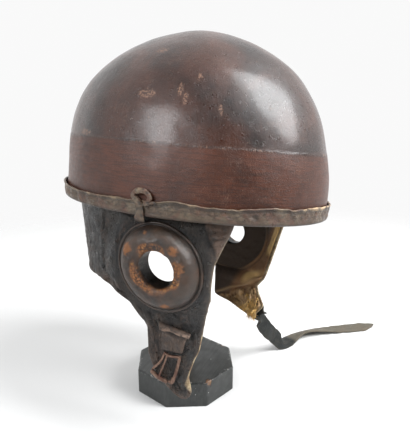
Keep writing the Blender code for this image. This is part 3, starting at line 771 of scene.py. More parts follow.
@dataclass(frozen=True)
class DomeLeather:
    """Polished dark mahogany leather, redder below the seam, scuffed and crazed."""

    dark: tuple = (0.0088, 0.0042, 0.0034)
    warm: tuple = (0.054, 0.0168, 0.0086)
    band: tuple = (0.104, 0.029, 0.012)
    streak: tuple = (0.017, 0.0064, 0.0042)
    tan: tuple = (0.3, 0.165, 0.105)
    seam_level: float = 0.059

    def make(self, effects: Effects) -> Look:
        """Build the material.

        Args:
            effects: The shared effects.

        Returns:
            The material.
        """
        f = Finish("dome_leather", effects, 0.34)
        n = f.n
        f.colour = n.mix(f.patches(15.0, 0.5, 0.17), self.dark, self.warm)
        f.lay(f.patches(70.0, 0.5, 0.12) * 0.35, self.streak)
        band = n.mark("band")
        long = n.vector("MULTIPLY", f.uv, (62.0, 620.0, 1.0))
        lines = n.noise(long, 1.0, 6.0, 0.75, 0.5)
        lower = n.mix(n.span(lines, 0.4, 0.66) * 0.75, self.band, self.streak)
        lower = n.mix(f.patches(24.0, 0.4, 0.14) * 0.6, lower, self.streak)
        f.lay(band * 0.7, lower)
        upright = n.vector("MULTIPLY", f.uv, (330.0, 22.0, 1.0))
        rubbed = n.noise(upright, 1.0, 5.0, 0.7, 0.6)
        f.lay(n.span(rubbed, 0.55, 0.75) * 0.3, self.band)
        crazed = n.group(effects.cracks, Vector=f.at, Scale=420.0, Amount=0.35)
        where = f.patches(30.0, 0.55, 0.1)
        f.lay(crazed * where * 0.5, self.streak)
        stitch = n.group(effects.stitches, UV=f.uv, Level=self.seam_level, Pitch=0.003, Width=0.0009)
        ridge = n.mark("seam")
        rubbed_seam = f.patches(55.0, 0.42) * 0.2
        f.lay(stitch * rubbed_seam, self.tan)
        f.lay(ridge * 0.5, self.dark)
        flaked = f.patches(420.0, 0.36, 0.05) * f.patches(40.0, 0.4, 0.06)
        f.lay(ridge * (flaked * 0.45), self.tan)
        scuffs = (((-91.3, 5.5, 97.1), 0.0052, (1.0, 1.0, 1.9)),
            ((-87.5, -21.8, 101.4), 0.004, (1.0, 2.2, 1.0)),
            ((-89.4, -27.5, 94.9), 0.0034, (1.0, 2.6, 0.8)), ((-63.1, 8.3, 134.3), 0.0036, (1.0, 1.0, 2.0)),
            ((-78.7, -33.4, 112.4), 0.0024, (1.0, 1.4, 1.0)), ((-80.5, 66.0, 62.5), 0.005, (0.7, 0.7, 2.4)),
            ((-84.0, -55.5, 86.0), 0.0022, (1.6, 1.6, 0.4)), ((60.0, 40.0, 118.0), 0.005, (1.0, 1.6, 1.0)),
            ((30.0, 95.0, 95.0), 0.0042, (1.0, 1.0, 2.0)), ((85.0, -40.0, 96.0), 0.004, (1.0, 1.0, 2.0)))
        worn: Value = 0.0
        for place, radius, stretch in scuffs:
            worn = worn | f.spot(POSE.spot(*place), radius * 1.7, stretch, 1.5)
        worn = worn * f.cloud(620.0, 0.44, 0.6, 4.0, 0.7)
        nick = n.group(effects.scratches, Vector=f.at, Stretch=(900.0, 900.0, 60.0), Cover=0.55)
        loop = n.group(effects.scratches, Vector=f.at, Stretch=(160.0, 520.0, 420.0), Cover=0.35)
        marks = nick | loop
        flecks = f.patches(900.0, 0.2, 0.04) * f.patches(34.0, 0.42, 0.06)
        pale = worn * 0.62 | marks * 0.3
        pale = pale | flecks * 0.35
        f.lay(pale, self.tan)
        grain = f.grain(620.0)
        height = grain + crazed * -0.35
        height = height + (marks | worn) * -0.35
        height = height + stitch * 0.5
        height = height + stitch.other(1) * -0.6
        height = height + lines * band * 0.3
        rough = f.gloss(240.0, 0.26, 0.37, 5.0, 0.7)
        rough = rough + pale * 0.25
        rough = rough + band * 0.1
        f.set(Coat_Weight=n.span(band, 0.0, 1.0, 0.46, 0.18), Coat_Roughness=0.23, Specular_IOR_Level=0.42)
        return f.finish(rough, height, 0.4, 0.0004)


@dataclass(frozen=True)
class BindingLeather:
    """Grey brown binding, cream along its raised edge, worn to tan on the folds; the cream is partly real
    wear and partly painted highlight, stronger at the front, and the creases, the line under the welt and
    the bottom carry painted shade.
    """

    base: tuple = (0.07, 0.041, 0.025)
    olive: tuple = (0.115, 0.083, 0.052)
    red: tuple = (0.1, 0.04, 0.025)
    dark: tuple = (0.014, 0.0095, 0.007)
    cream: tuple = (0.56, 0.4, 0.24)

    def make(self, effects: Effects) -> Look:
        """Build the material from the shared effects."""
        f = Finish("binding_leather", effects, 0.5)
        n = f.n
        f.colour = n.mix(f.patches(38.0, 0.5, 0.12), self.base, self.olive)
        f.lay(f.patches(90.0, 0.42, 0.08) * 0.6, self.red)
        # Painted shade: the crease mark darkens the binding's crease valleys; on the tie the same mark is
        # random dark blotches.
        crease_shade = n.mark("crease")
        f.lay(crease_shade * 0.75, self.dark)
        long = n.vector("MULTIPLY", f.uv, (22.0, 700.0, 1.0))
        lines = n.noise(long, 1.0, 4.0, 0.65)
        f.lay(n.span(lines, 0.5, 0.7) * 0.4, self.dark)
        # Painted shade: a dark line just under the welt, and a dark strip along the binding's bottom.
        level = n.add("SeparateXYZ", None, Vector=f.uv).other(1)
        welt_and_bottom_shade = n.span(level, 0.0094, 0.0112) * n.span(level, 0.0122, 0.0136, 1.0, 0.0)
        welt_and_bottom_shade = welt_and_bottom_shade | n.span(level, 0.0008, 0.003, 1.0, 0.0)
        f.lay(welt_and_bottom_shade * 0.65, self.dark)
        edge = n.mark("edge")
        worn = edge * f.cloud(60.0, 0.42, 0.62, 4.0, 0.7)
        # The cream on the edge and on the swell tops is partly real wear and partly painted highlight, made
        # stronger at the front, where the key light falls.
        front = n.span(n.mark("front"), 0.55, 0.95)
        worn = worn * n.span(front, 0.0, 1.0, 0.3, 0.95)
        whole = n.span(edge, 0.5, 0.9) * (front * 0.75)
        worn = worn | whole * f.cloud(240.0, 0.3, 0.45, 3.0)
        tops = n.mark("ridge") * f.cloud(300.0, 0.55, 0.7, 4.0, 0.7)
        f.lay(tops * n.span(front, 0.0, 1.0, 0.15, 0.6), self.cream)
        f.lay(worn, self.cream)
        grain = f.grain(900.0)
        height = grain + lines * 0.9
        rough = f.gloss(150.0, 0.26, 0.5)
        f.set(Specular_IOR_Level=0.5)
        return f.finish(rough, height, 0.6, 0.0005)


@dataclass(frozen=True)
class FlapLeather:
    """Soft charcoal leather, brown where it's rubbed, cream along its raw edge, with painted shade in its
    creases and in the valleys of its pleats.
    """

    base: tuple = (0.021, 0.0165, 0.0135)
    blue: tuple = (0.014, 0.014, 0.0145)
    brown: tuple = (0.104, 0.064, 0.045)
    dark: tuple = (0.005, 0.0045, 0.0045)
    tan: tuple = (0.26, 0.165, 0.09)
    cream: tuple = (0.56, 0.44, 0.27)

    def make(self, effects: Effects) -> Look:
        """Build the material from the shared effects."""
        f = Finish("flap_leather", effects, 0.55)
        n = f.n
        f.colour = n.mix(f.patches(45.0, 0.5, 0.12), self.base, self.blue)
        f.lay(n.mark("brown") * f.patches(120.0, 0.75, 0.15), self.brown)
        # Painted shade: the crease mark darkens the valleys of the creases and grooves.
        valley = n.mark("crease")
        f.lay(valley * 0.85, self.dark)
        tops = n.mark("ridge") * f.cloud(300.0, 0.42, 0.66, 4.0, 0.7)
        f.lay(tops * 0.45, self.brown)
        fine = n.noise(f.at, 520.0, 4.0, 0.75)
        f.lay(n.span(fine, 0.58, 0.74) * 0.22, self.tan)
        edge = n.mark("edge") * f.cloud(160.0, 0.25, 0.6, 3.0)
        f.lay(edge * 0.55, self.brown)
        raw = n.mark("raw")
        worn = f.cloud(130.0, 0.38, 0.56, 4.0, 0.7)
        f.lay(raw, n.mix(worn, self.tan, self.cream))
        grain = f.grain(760.0)
        wrinkle = n.add("TexNoise", {"noise_type": "RIDGED_MULTIFRACTAL"}, Vector=f.at, Scale=150.0,
            Detail=4.0)
        drawn = n.vector("MULTIPLY", f.uv, (520.0, 120.0, 1.0))
        pleats = n.noise(drawn, 1.0, 4.0, 0.65, 0.8)
        height = grain + wrinkle * 0.55
        height = height + pleats * 1.4
        # The pleats are only a bump: their low parts are darkened as painted shade, and their high parts
        # are made browner.
        f.lay(n.span(pleats, 0.56, 0.72) * 0.3, self.brown)
        f.lay(n.span(pleats, 0.44, 0.28) * 0.45, self.dark)
        rough = f.gloss(140.0, 0.22, 0.5)
        rough = rough + raw * 0.25
        f.set(Specular_IOR_Level=0.42)
        return f.finish(rough, height, 1.0, 0.0009)


@dataclass(frozen=True)
class RingLeather:
    """Padded grey brown leather, rubbed smooth, cracked to rust round its hole, with painted shade in its
    outer groove and down into its hole.
    """

    base: tuple = (0.038, 0.024, 0.016)
    dark: tuple = (0.014, 0.01, 0.008)
    rust: tuple = (0.23, 0.086, 0.025)
    brown: tuple = (0.066, 0.03, 0.017)
    ochre: tuple = (0.33, 0.165, 0.05)
    black: tuple = (0.01, 0.009, 0.008)

    def make(self, effects: Effects) -> Look:
        """Build the material from the shared effects."""
        f = Finish("ring_leather", effects, 0.42)
        n = f.n
        f.colour = n.mix(f.patches(60.0, 0.45, 0.16), self.base, self.dark)
        f.lay(f.patches(150.0, 0.4, 0.1) * 0.4, self.brown)
        lip = n.mark("lip")
        net = n.group(effects.cracks, Vector=f.at, Scale=330.0, Amount=1.1)
        cloud = f.cloud(95.0, 0.33, 0.55, 5.0, 0.7)
        worn = n.span(lip, 0.15, 0.65) * cloud
        f.lay(lip * 0.55, self.brown)
        f.lay(worn * 0.9, self.rust)
        f.lay(worn * f.cloud(330.0, 0.55, 0.68, 3.0), self.ochre)
        places = (((-111.5, 6.5, -27.0), 0.0062), ((-110.0, -8.0, -10.0), 0.0036),
            ((-104.8, -28.8, -70.8), 0.0042), ((-107.0, -37.0, -38.0), 0.0075),
            ((-108.5, -33.0, -24.0), 0.005), ((-110.0, 1.5, -9.0), 0.0025), ((104.0, -30.0, -30.0), 0.007),
            ((104.0, 0.0, -55.0), 0.005))
        spots: Value = 0.0
        for place, radius in places:
            spots = spots | f.spot(POSE.spot(*place), radius, (1.0, 1.0, 1.0), 1.5)
        f.lay(spots * cloud * 0.75, self.rust)
        f.lay(net * (lip * 0.8), self.black)
        # Painted shade in the outer groove; the radial splits are darkened partly as cracks and partly as
        # shade.
        f.lay(n.mark("crease"), self.dark)
        # Painted shade: black down the sleeve into the hole and in the outer groove.
        f.lay(n.mark("deep"), self.black)
        grain = f.grain(1100.0)
        height = grain * 0.6 + net * (lip * -1.1)
        height = height + worn * -0.8
        rough = f.gloss(80.0, 0.3, 0.46)
        rough = rough + (worn | spots) * 0.3
        f.set(Coat_Weight=0.1, Coat_Roughness=0.25, Specular_IOR_Level=0.4)
        return f.finish(rough, height, 0.55, 0.0005)


@dataclass(frozen=True)
class TabLeather:
    """Doubled tab, brown and rubbed pale along its roll, with painted shade under the roll and in its
    creases.
    """

    base: tuple = (0.038, 0.025, 0.0195)
    brown: tuple = (0.068, 0.043, 0.03)
    dark: tuple = (0.008, 0.0062, 0.0055)
    pale: tuple = (0.2, 0.13, 0.092)

    def make(self, effects: Effects) -> Look:
        """Build the material from the shared effects."""
        f = Finish("tab_leather", effects, 0.5)
        n = f.n
        f.colour = n.mix(f.patches(120.0, 0.5, 0.1), self.base, self.brown)
        # Painted shade in the creases and in the dip under the roll.
        f.lay(n.mark("crease") * 0.9, self.dark)
        worn = f.cloud(210.0, 0.4, 0.58, 4.0, 0.7)
        f.lay(n.mark("ridge") * worn, self.pale)
        f.lay(n.mark("edge") * 0.5, self.brown)
        grain = f.grain(900.0)
        rough = f.gloss(120.0, 0.4, 0.62, 3.0)
        return f.finish(rough, grain, 0.7, 0.0006)


@dataclass(frozen=True)
class LiningCloth:
    """Lining, near black round the ear, ochre and frayed towards its edges, with painted shade in the
    valleys of its crumples.
    """

    dark: tuple = (0.04, 0.025, 0.0155)
    brown: tuple = (0.19, 0.095, 0.04)
    ochre: tuple = (0.62, 0.4, 0.16)
    tan: tuple = (0.4, 0.26, 0.135)
    thread: tuple = (0.85, 0.54, 0.18)

    def make(self, effects: Effects) -> Look:
        """Build the material from the shared effects."""
        f = Finish("lining_cloth", effects, 0.85)
        n = f.n
        tone = n.mark("tone")
        cloud = (n.noise(f.at, 55.0, 5.0, 0.65) - 0.5) * 0.5
        clouded_tone = tone + cloud * n.span(tone, 0.0, 0.35, 0.15, 1.0)
        f.colour = n.mix(n.span(clouded_tone, 0.05, 0.45), self.dark, self.brown)
        f.lay(n.span(clouded_tone, 0.5, 0.92), self.ochre)
        crumple = n.mark("crumple")
        f.lay(crumple * f.cloud(160.0, 0.35, 0.6), self.tan)
        # Painted shade in the valleys of the crumples, the hem line and the dip beside the seam.
        f.lay(n.mark("crease") * 0.9, self.dark)
        f.lay(n.mark("ridge") * 0.55, self.tan)
        fray = n.mark("fray")
        f.lay(fray, n.mix(f.cloud(260.0, 0.4, 0.6, 3.0), self.ochre, self.thread))
        weave = n.group(effects.weave, UV=f.uv, Thread=0.00085)
        felt = n.noise(f.at, 900.0, 4.0, 0.7)
        height = weave * 0.5 + felt
        f.set(Sheen_Weight=0.15, Sheen_Roughness=0.5, Specular_IOR_Level=0.3)
        return f.finish(None, height, 0.7, 0.0005)


@dataclass(frozen=True)
class StrapLeather:
    """Dry charcoal strap, its flesh side grey tan, with painted shade in its creases, strongest at its
    bend.
    """

    outer: tuple = (0.0135, 0.0155, 0.015)
    worn: tuple = (0.026, 0.026, 0.023)
    dusty: tuple = (0.11, 0.1, 0.078)
    flesh: tuple = (0.118, 0.098, 0.071)
    dark: tuple = (0.008, 0.0075, 0.007)

    def make(self, effects: Effects) -> Look:
        """Build the material from the shared effects."""
        f = Finish("strap_leather", effects, 0.58)
        n = f.n
        outer = n.mix(f.patches(60.0, 0.45, 0.1), self.outer, self.worn)
        inner = n.mix(f.patches(90.0, 0.55, 0.12), self.flesh, self.dusty)
        frayed = n.mark("flesh") + n.noise(f.at, 120.0, 4.0) * 0.5
        f.colour = n.mix(n.span(frayed, 0.6, 1.05), outer, inner)
        edge = n.span(abs(n.mark("side")), 0.82, 0.98)
        f.lay(edge * 0.25, self.flesh)
        # Painted shade in the creases, strongest at the bend where the strap comes down to the floor.
        f.lay(n.mark("crease") * 0.8, self.dark)
        long = n.vector("MULTIPLY", f.uv, (600.0, 40.0, 1.0))
        lines = n.noise(long, 1.0, 4.0, 0.6)
        f.lay(n.span(lines, 0.55, 0.72) * 0.18, self.flesh)
        grain = f.grain(800.0)
        height = grain + lines * 0.5
        rough = f.gloss(120.0, 0.48, 0.7, 3.0)
        f.set(Specular_IOR_Level=0.25)
        return f.finish(rough, height, 0.6, 0.0005)


@dataclass(frozen=True)
class BuckleMetal:
    """Brown patinated metal with rust and bright rubbed edges, and painted shade on the undersides of its
    bars.
    """

    brown: tuple = (0.085, 0.044, 0.031)
    bright: tuple = (0.19, 0.118, 0.085)
    rust: tuple = (0.08, 0.026, 0.015)
    dark: tuple = (0.014, 0.009, 0.007)

    def make(self, effects: Effects) -> Look:
        """Build the material from the shared effects."""
        f = Finish("buckle_metal", effects, 0.42)
        n = f.n
        f.colour = n.mix(f.patches(160.0, 0.5, 0.1), self.brown, self.bright)
        rust = f.patches(240.0, 0.3, 0.12) | f.spot(POSE.spot(-86.0, -20.0, -143.0), 0.005)
        f.lay(rust * 0.6, self.rust)
        # Painted shade on the bars' undersides, the side toward the flap.
        f.lay(n.mark("crease") * 0.9, self.dark)
        pits = n.noise(f.at, 1400.0, 4.0, 0.7)
        f.set(Metallic=n.span(rust, 0.0, 1.0, 0.65, 0.2))
        rough = rust * 0.3 + n.span(pits, 0.3, 0.7, 0.32, 0.5)
        return f.finish(rough, pits, 0.5, 0.0003)


@dataclass(frozen=True)
class PaintedWood:
    """Black paint on wood, specked and chipped to the bare wood."""

    paint: tuple = (0.013, 0.0145, 0.0138)
    grey: tuple = (0.03, 0.032, 0.0305)
    bare: tuple = (0.19, 0.105, 0.052)
    red: tuple = (0.075, 0.03, 0.018)
    speck: tuple = (0.56, 0.55, 0.52)

    def make(self, effects: Effects) -> Look:
        """Build the material from the shared effects."""
        f = Finish("painted_wood", effects, 0.5)
        n = f.n
        fibres = n.group(effects.wood, Vector=f.at, Stretch=(30.0, 420.0, 160.0))
        f.colour = n.mix(n.span(fibres, 0.35, 0.68), self.paint, self.grey)
        f.lay(f.patches(28.0, 0.5, 0.2) * 0.4, self.grey)
        cells = n.add("TexVoronoi", None, Vector=f.at, Scale=140.0, Randomness=1.0)
        dots = n.span(cells, 0.045, 0.075, 1.0, 0.0) * f.patches(46.0, 0.42, 0.03)
        f.lay(dots, self.speck)
        edge = n.mark("edge") * f.cloud(180.0, 0.52, 0.66, 4.0, 0.7)
        f.lay(edge * 0.6, self.speck)
        chip = n.mark("chip")
        bare = n.mix(n.span(fibres, 0.4, 0.6), self.red, self.bare)
        f.lay(n.span(chip, 0.25, 0.5), bare)
        height = fibres + dots * 0.5
        rough = f.gloss(70.0, 0.3, 0.5)
        return f.finish(rough, height, 0.4, 0.0004)


@dataclass(frozen=True)
class TurnedWood:
    """Plain oiled wood with its grain upright."""

    light: tuple = (0.29, 0.165, 0.085)
    deep: tuple = (0.15, 0.078, 0.038)

    def make(self, effects: Effects) -> Look:
        """Build the material from the shared effects."""
        f = Finish("turned_wood", effects, 0.5)
        n = f.n
        fibres = n.group(effects.wood, Vector=f.at, Stretch=(420.0, 420.0, 26.0))
        f.colour = n.mix(n.span(fibres.other(1), 0.1, 0.9), self.light, self.deep)
        f.lay(n.span(fibres, 0.4, 0.7) * 0.5, self.deep)
        return f.finish(None, fibres, 0.4, 0.0003)


# The helmet and its stand


@dataclass
class Shell:
    """The hard dome, hollow, with the seam where its lower band meets the crown."""

    half_length: float = 0.129
    half_width: float = 0.1036
    height: float = 0.162
    wall: float = 0.0045
    roundness: float = 3.46
    fullness: float = 1.54
    tip_ease: float = 0.12
    rim_forward: float = 0.0026
    backward: float = 0.0033
    band_height: float = 0.059
    band_step: float = 0.0008
    lift: float = 0.0022
    around: int = 320

    def level(self, share: Array) -> Array:
        """Height of the dome as a share, where it is this share of its rim wide.

        It is (1 less w to the fullness) to the power of one over the roundness,
        with w eased at the tip so that the crown has no point.

        Args:
            share: Width as a share of the rim's.

        Returns:
            Height as a share of the dome's.
        """
        ease = self.tip_ease
        power = self.fullness / 2.0
        eased_share = (share ** 2 + ease ** 2) ** power - ease ** self.fullness
        eased_share /= (1.0 + ease ** 2) ** power - ease ** self.fullness
        return cut(1.0 - eased_share) ** (1.0 / self.roundness)

    def centre(self, level: Array) -> Array:
        """Where the dome's middle lies along Y, a squared sine of the height above the binding."""
        above = cut((level - 0.1) / 0.9)
        return self.backward * np.sin(math.pi * above) ** 2 - self.rim_forward

    def profile(self, rows: int, height: float) -> tuple[Array, Array]:
        """Widths and heights down the dome, closer together at the seam.

        Args:
            rows: How many.
            height: Height of the dome.

        Returns:
            Width shares and heights, from the crown to the rim.
        """
        share = np.linspace(0.0, 1.0, 6000)
        z = self.level(share) * height
        length = np.hypot(np.diff(share) * 0.116, np.diff(z))
        density = 1.0 + 5.0 * bell((0.5 * (z[1:] + z[:-1]) - self.band_height) / 0.0024)
        run = summed(length * density)
        last = np.interp(self.lift, z[::-1], run[::-1])
        at = np.linspace(0.0, last, rows + 1)[1:]
        return np.interp(at, run, share), np.interp(at, run, z)

    def seam_height(self, angle: Array) -> Array:
        """Height of the seam round the dome, level but for a slow wave."""
        return self.band_height + 0.0007 * np.sin(2.0 * angle + 0.9) + 0.0004 * np.sin(5.0 * angle)

    def face(self, share: Array, z: Array, angle: Array, wall: float) -> Array:
        """Points of a dome face, on an ellipse at each height.

        Args:
            share: Width of each row, as a share of the rim's.
            z: Height of each row.
            angle: Turn of each column.
            wall: How far the face lies inside the outer size.

        Returns:
            Points as rows by columns by three.
        """
        level = cut(z / (self.height - wall))
        x = (self.half_width - wall) * share[:, None] * np.cos(angle)
        y = self.centre(level)[:, None] + (self.half_length - wall) * share[:, None] * np.sin(angle)
        return pack(x, y, z[:, None])

    def skin(self) -> Skin:
        """The whole dome, from the crown down the outside, round the rim and up the inside."""
        angle = turns(self.around)
        share, z = self.profile(132, self.height)
        outer = self.face(share, z, angle, 0.0)
        seam = self.seam_height(angle)
        below = rise((seam + 0.0013 - z[:, None]) / 0.0026)
        swollen = 0.25 * below + 0.75 * rise((seam + 0.01 - z[:, None]) / 0.036)
        soft = rise((seam + 0.005 - z[:, None]) / 0.01)
        ridge = bell((z[:, None] - seam) / 0.0011)
        normal = facing(outer, True)
        normal *= np.sign(np.sum(normal * (outer - [0.0, 0.0, 0.05]), -1, keepdims=True))
        dent = 0.00034 * waves(outer, 0.075, 3, 2) + 5e-05 * waves(outer, 0.016, 4, 2)
        dent += 0.00012 * ridge * waves(outer, 0.006, 5, 1)
        calm = rise((z[:, None] - 0.004) / 0.02)
        outer = outer + normal * (dent * calm + self.band_step * swollen + 4e-05 * ridge)[..., None]
        share_in, z_in = self.profile(30, self.height - self.wall)
        inner = self.face(share_in, z_in, angle, self.wall)[::-1]
        middle = 0.5 * (outer[-1] + inner[0]) - np.array([0.0, 0.0, 0.0006])
        rows = np.concatenate([outer, middle[None], inner])
        band = np.concatenate([soft, np.ones((1, self.around)), np.full(inner.shape[:2], 0.5)])
        marks = {"band": band, "seam": np.concatenate([ridge, np.zeros((1 + len(inner), self.around))])}
        u = np.linspace(0.0, 0.732, self.around + 1)
        v = np.concatenate([z, [0.001], z_in[::-1]])
        v = np.where(np.arange(len(v)) < len(z), v, v + 0.5)
        return loft(rows, u, v, marks, poles=(True, True))


@dataclass
class RimBinding:
    """Leather folded over the rim, with a wavy raised edge."""

    shell: Shell
    inner_height: float = 0.011
    wall: float = 0.0015
    welt: float = 0.0011
    around: int = 720
    tops: tuple = (("angle", "top", "flare"), (-180.0, 0.0132, 0.0002), (-174.0, 0.013, 0.0002),
        (-169.0, 0.0158, 0.0006), (-165.0, 0.015, 0.0007), (-157.0, 0.0132, 0.0005),
        (-146.0, 0.0131, 0.0005), (-137.0, 0.0149, 0.0006), (-130.0, 0.0158, 0.0007),
        (-121.0, 0.0139, 0.0005), (-110.0, 0.0151, 0.0006), (-98.0, 0.0146, 0.0007),
        (-85.0, 0.0136, 0.0009), (-60.0, 0.0148, 0.0006), (-30.0, 0.0137, 0.0004), (0.0, 0.0146, 0.0005),
        (35.0, 0.0135, 0.0004), (70.0, 0.0147, 0.0006), (100.0, 0.0136, 0.0006), (125.0, 0.014, 0.0012),
        (137.0, 0.0122, 0.0018), (150.0, 0.0113, 0.0008), (163.0, 0.012, 0.0003), (172.0, 0.0128, 0.0002),
        (180.0, 0.0132, 0.0002))

    def skin(self) -> Skin:
        """The binding's section carried round the rim.

        Outside it goes up from the rounded bottom to the welt, which is a half
        circle leaning out by the flare, then down against the shell, under the
        rim and up the inside.
        """
        angle = np.linspace(-math.pi, math.pi, self.around, endpoint=False)
        table = columns(self.tops)
        top = eased(np.degrees(angle), table["angle"], table["top"], 2.2)[:, None]
        top = top + 0.00022 * waves(pack(np.cos(angle), np.sin(angle)) * 0.116, 0.012, 8, 2)[:, None]
        flare = eased(np.degrees(angle), table["angle"], table["flare"], 2.5)[:, None]
        outside = self.shell.band_step + GAP
        inside = -(self.shell.wall + 2.0 * GAP)
        low = self.shell.lift - GAP
        s = np.linspace(0.0, 1.0, 17)
        r = self.welt
        face_out = outside + self.wall + 0.00045 * np.sin(math.pi * s) + flare * s ** 3
        face_z = 0.0016 + (top - 0.0016 - r * 1.1) * s
        phi = np.linspace(-0.35, math.pi, 9)[1:]
        welt_out = outside + r + 0.0001 + flare + r * np.cos(phi)
        welt_z = top - r + r * np.sin(phi)
        back_out = np.broadcast_to(np.array([outside, outside, inside, inside]), (self.around, 4))
        back_z = pack(np.full(self.around, 0.006), *[np.full(self.around, low)] * 2,
            np.full(self.around, self.inner_height - 0.0004))
        t = np.linspace(0.0, math.pi, 6)
        half = self.wall * 0.45
        lip_out = np.broadcast_to(inside - half - half * np.cos(t), (self.around, 6))
        lip_z = np.broadcast_to(self.inner_height + half * np.sin(t), (self.around, 6))
        down = np.linspace(0.9, 0.12, 6)
        in_out = np.broadcast_to(inside - self.wall * np.array([0.95] * 6), (self.around, 6))
        in_z = np.broadcast_to(self.inner_height * down, (self.around, 6))
        turn = np.linspace(0.0, math.pi / 2, 6)
        b1_out = inside - self.wall * 0.95 + 0.0009 * (1.0 - np.cos(turn))
        b1_z = 0.0009 * (1.0 - np.sin(turn))
        b2_out = outside + self.wall - 0.0014 + 0.0014 * np.sin(turn)
        b2_z = 0.0015 * (1.0 - np.cos(turn))
        bottom_out = np.broadcast_to(np.concatenate([b1_out, b2_out[:-1]]), (self.around, 11))
        bottom_z = np.broadcast_to(np.concatenate([b1_z, b2_z[:-1]]), (self.around, 11))
        out = np.concatenate([face_out, welt_out, back_out, lip_out, in_out, bottom_out], 1)
        z = np.concatenate([face_z, welt_z, back_z, lip_z, in_z, bottom_z], 1)
        c, q = np.cos(angle)[:, None], np.sin(angle)[:, None]
        x = (self.shell.half_width + out) * c
        y = (self.shell.half_length + out) * q - self.shell.rim_forward
        rows = pack(x, y, z)
        count = out.shape[1]
        shown = np.zeros(count)
        shown[:17] = np.sin(math.pi * np.linspace(0.12, 0.9, 17))
        run = angle[:, None] * 0.116 * np.ones_like(z)
        fine = creases(run, z, 0.01, 0.0036, 8.0, 11)
        across = creases(run, z, 0.006, 0.007, 68.0, 12)
        valley = cut(fine * 0.8 + across * 0.7)
        swell = waves(pack(run, z * 1.6), 0.014, 13, 2)
        push = shown * (0.00044 * swell - 0.00042 * valley)
        rows[..., 0] += push * c
        rows[..., 1] += push * q
        edge = np.zeros(count)
        edge[14:25] = [0.25, 0.6, 0.9, 1.0, 1.0, 1.0, 1.0, 0.9, 0.7, 0.4, 0.2]
        edge_mark = np.broadcast_to(edge, out.shape) * np.clip(0.75 + 0.5 * swell, 0.2, 1.0)
        # The front mark weights the binding's cream towards the front, the side the key light falls on:
        # partly painted highlight.
        front = bell((np.degrees(angle)[:, None] + 95.0) / 42.0) * np.ones_like(z)
        # The crease mark is painted shade in the valleys of the creases.
        marks = {"crease": valley * shown, "edge": edge_mark, "ridge": cut(swell) * shown, "front": front}
        u = np.concatenate([z.mean(0), [z.mean(0)[0]]])
        v = np.linspace(0.0, 0.732, self.around + 1)
        skin = loft(rows, u, v, marks, wrap_rows=True)
        skin.uvs = skin.uvs[:, ::-1].copy()
        return skin


@dataclass
class RimTie:
    """The thong that comes up over the binding and ends in a rolled loop."""

    stand_off: float = 0.1036 + 0.0008 + GAP + 0.0015
    path: tuple = (("y", "z", "out", "half", "wall"), (-1.6, -4.4, -0.6, 3.9, 0.7),
        (-1.9, -1.0, 1.2, 3.9, 0.7), (-2.2, 3.0, 1.5, 3.7, 0.8), (-2.2, 7.5, 1.8, 3.2, 1.1),
        (-1.6, 11.0, 2.3, 2.7, 1.5), (0.6, 13.6, 2.8, 2.5, 1.9), (3.2, 16.2, 2.6, 2.5, 2.1),
        (2.4, 19.4, 2.5, 2.5, 2.1), (-1.6, 21.0, 2.8, 2.3, 2.0), (-6.2, 20.9, 3.0, 2.1, 1.8),
        (-9.6, 18.6, 2.7, 1.9, 1.6), (-10.7, 15.4, 2.2, 1.8, 1.5), (-8.6, 12.6, 2.2, 1.5, 1.3),
        (-5.6, 12.3, 3.3, 1.6, 1.2))
    curl: tuple = (("y", "z", "out", "half", "wall"), (-4.8, 10.2, 2.3, 1.1, 0.9),
        (-8.0, 10.4, 2.6, 1.5, 1.0), (-11.4, 11.8, 2.3, 1.5, 1.0), (-14.2, 12.4, 1.6, 1.2, 0.9),
        (-15.2, 11.2, 1.2, 0.7, 0.7))

    def strip(self, table: tuple, count: int) -> Skin:
        """Carry the flat thong along one table of places.

        Args:
            table: Places along and above the rim, distance out, half width and half wall, in millimetres.
            count: How many sections.

        Returns:
            The thong's skin.
        """
        rows = np.array(table[1:], float) / 1000.0
        run = smooth_run(rows, count)
        reach = self.stand_off + run[:, 2]
        y = run[:, 0]
        x = -reach * np.sqrt(cut(1.0 - ((y + 0.0026) / 0.131) ** 2))
        path = pack(x, y, run[:, 1])
        along = unit(np.gradient(path, axis=0))
        out = unit(pack(np.full(count, -1.0), y / 0.16, np.zeros(count)))
        wide = unit(np.cross(out, along))
        thick = unit(np.cross(along, wide))
        lump = 1.0 + 0.12 * waves(path, 0.006, 21, 2)
        return tube(path, wide, thick, run[:, 3] * lump, run[:, 4] * lump, 2.5, 18)

    def skin(self) -> Skin:
        """The loop and its second small curl in one mesh."""
        both = self.strip(self.path, 90).joined(self.strip(self.curl, 36))
        worn = bell((both.points[:, 2] - 0.0208) / 0.0042)
        both.marks["edge"] = worn * cut(0.4 + 0.8 * waves(both.points, 0.005, 22, 1))
        both.marks["ridge"] = cut(waves(both.points, 0.004, 23, 2))
        # On the tie the front mark is a middling 0.6, so its cream gets part of that painted highlight.
        both.marks["front"] = np.full(len(both.points), 0.6)
        both.marks["crease"] = cut(-waves(both.points, 0.005, 24, 2) - 0.2)
        return both


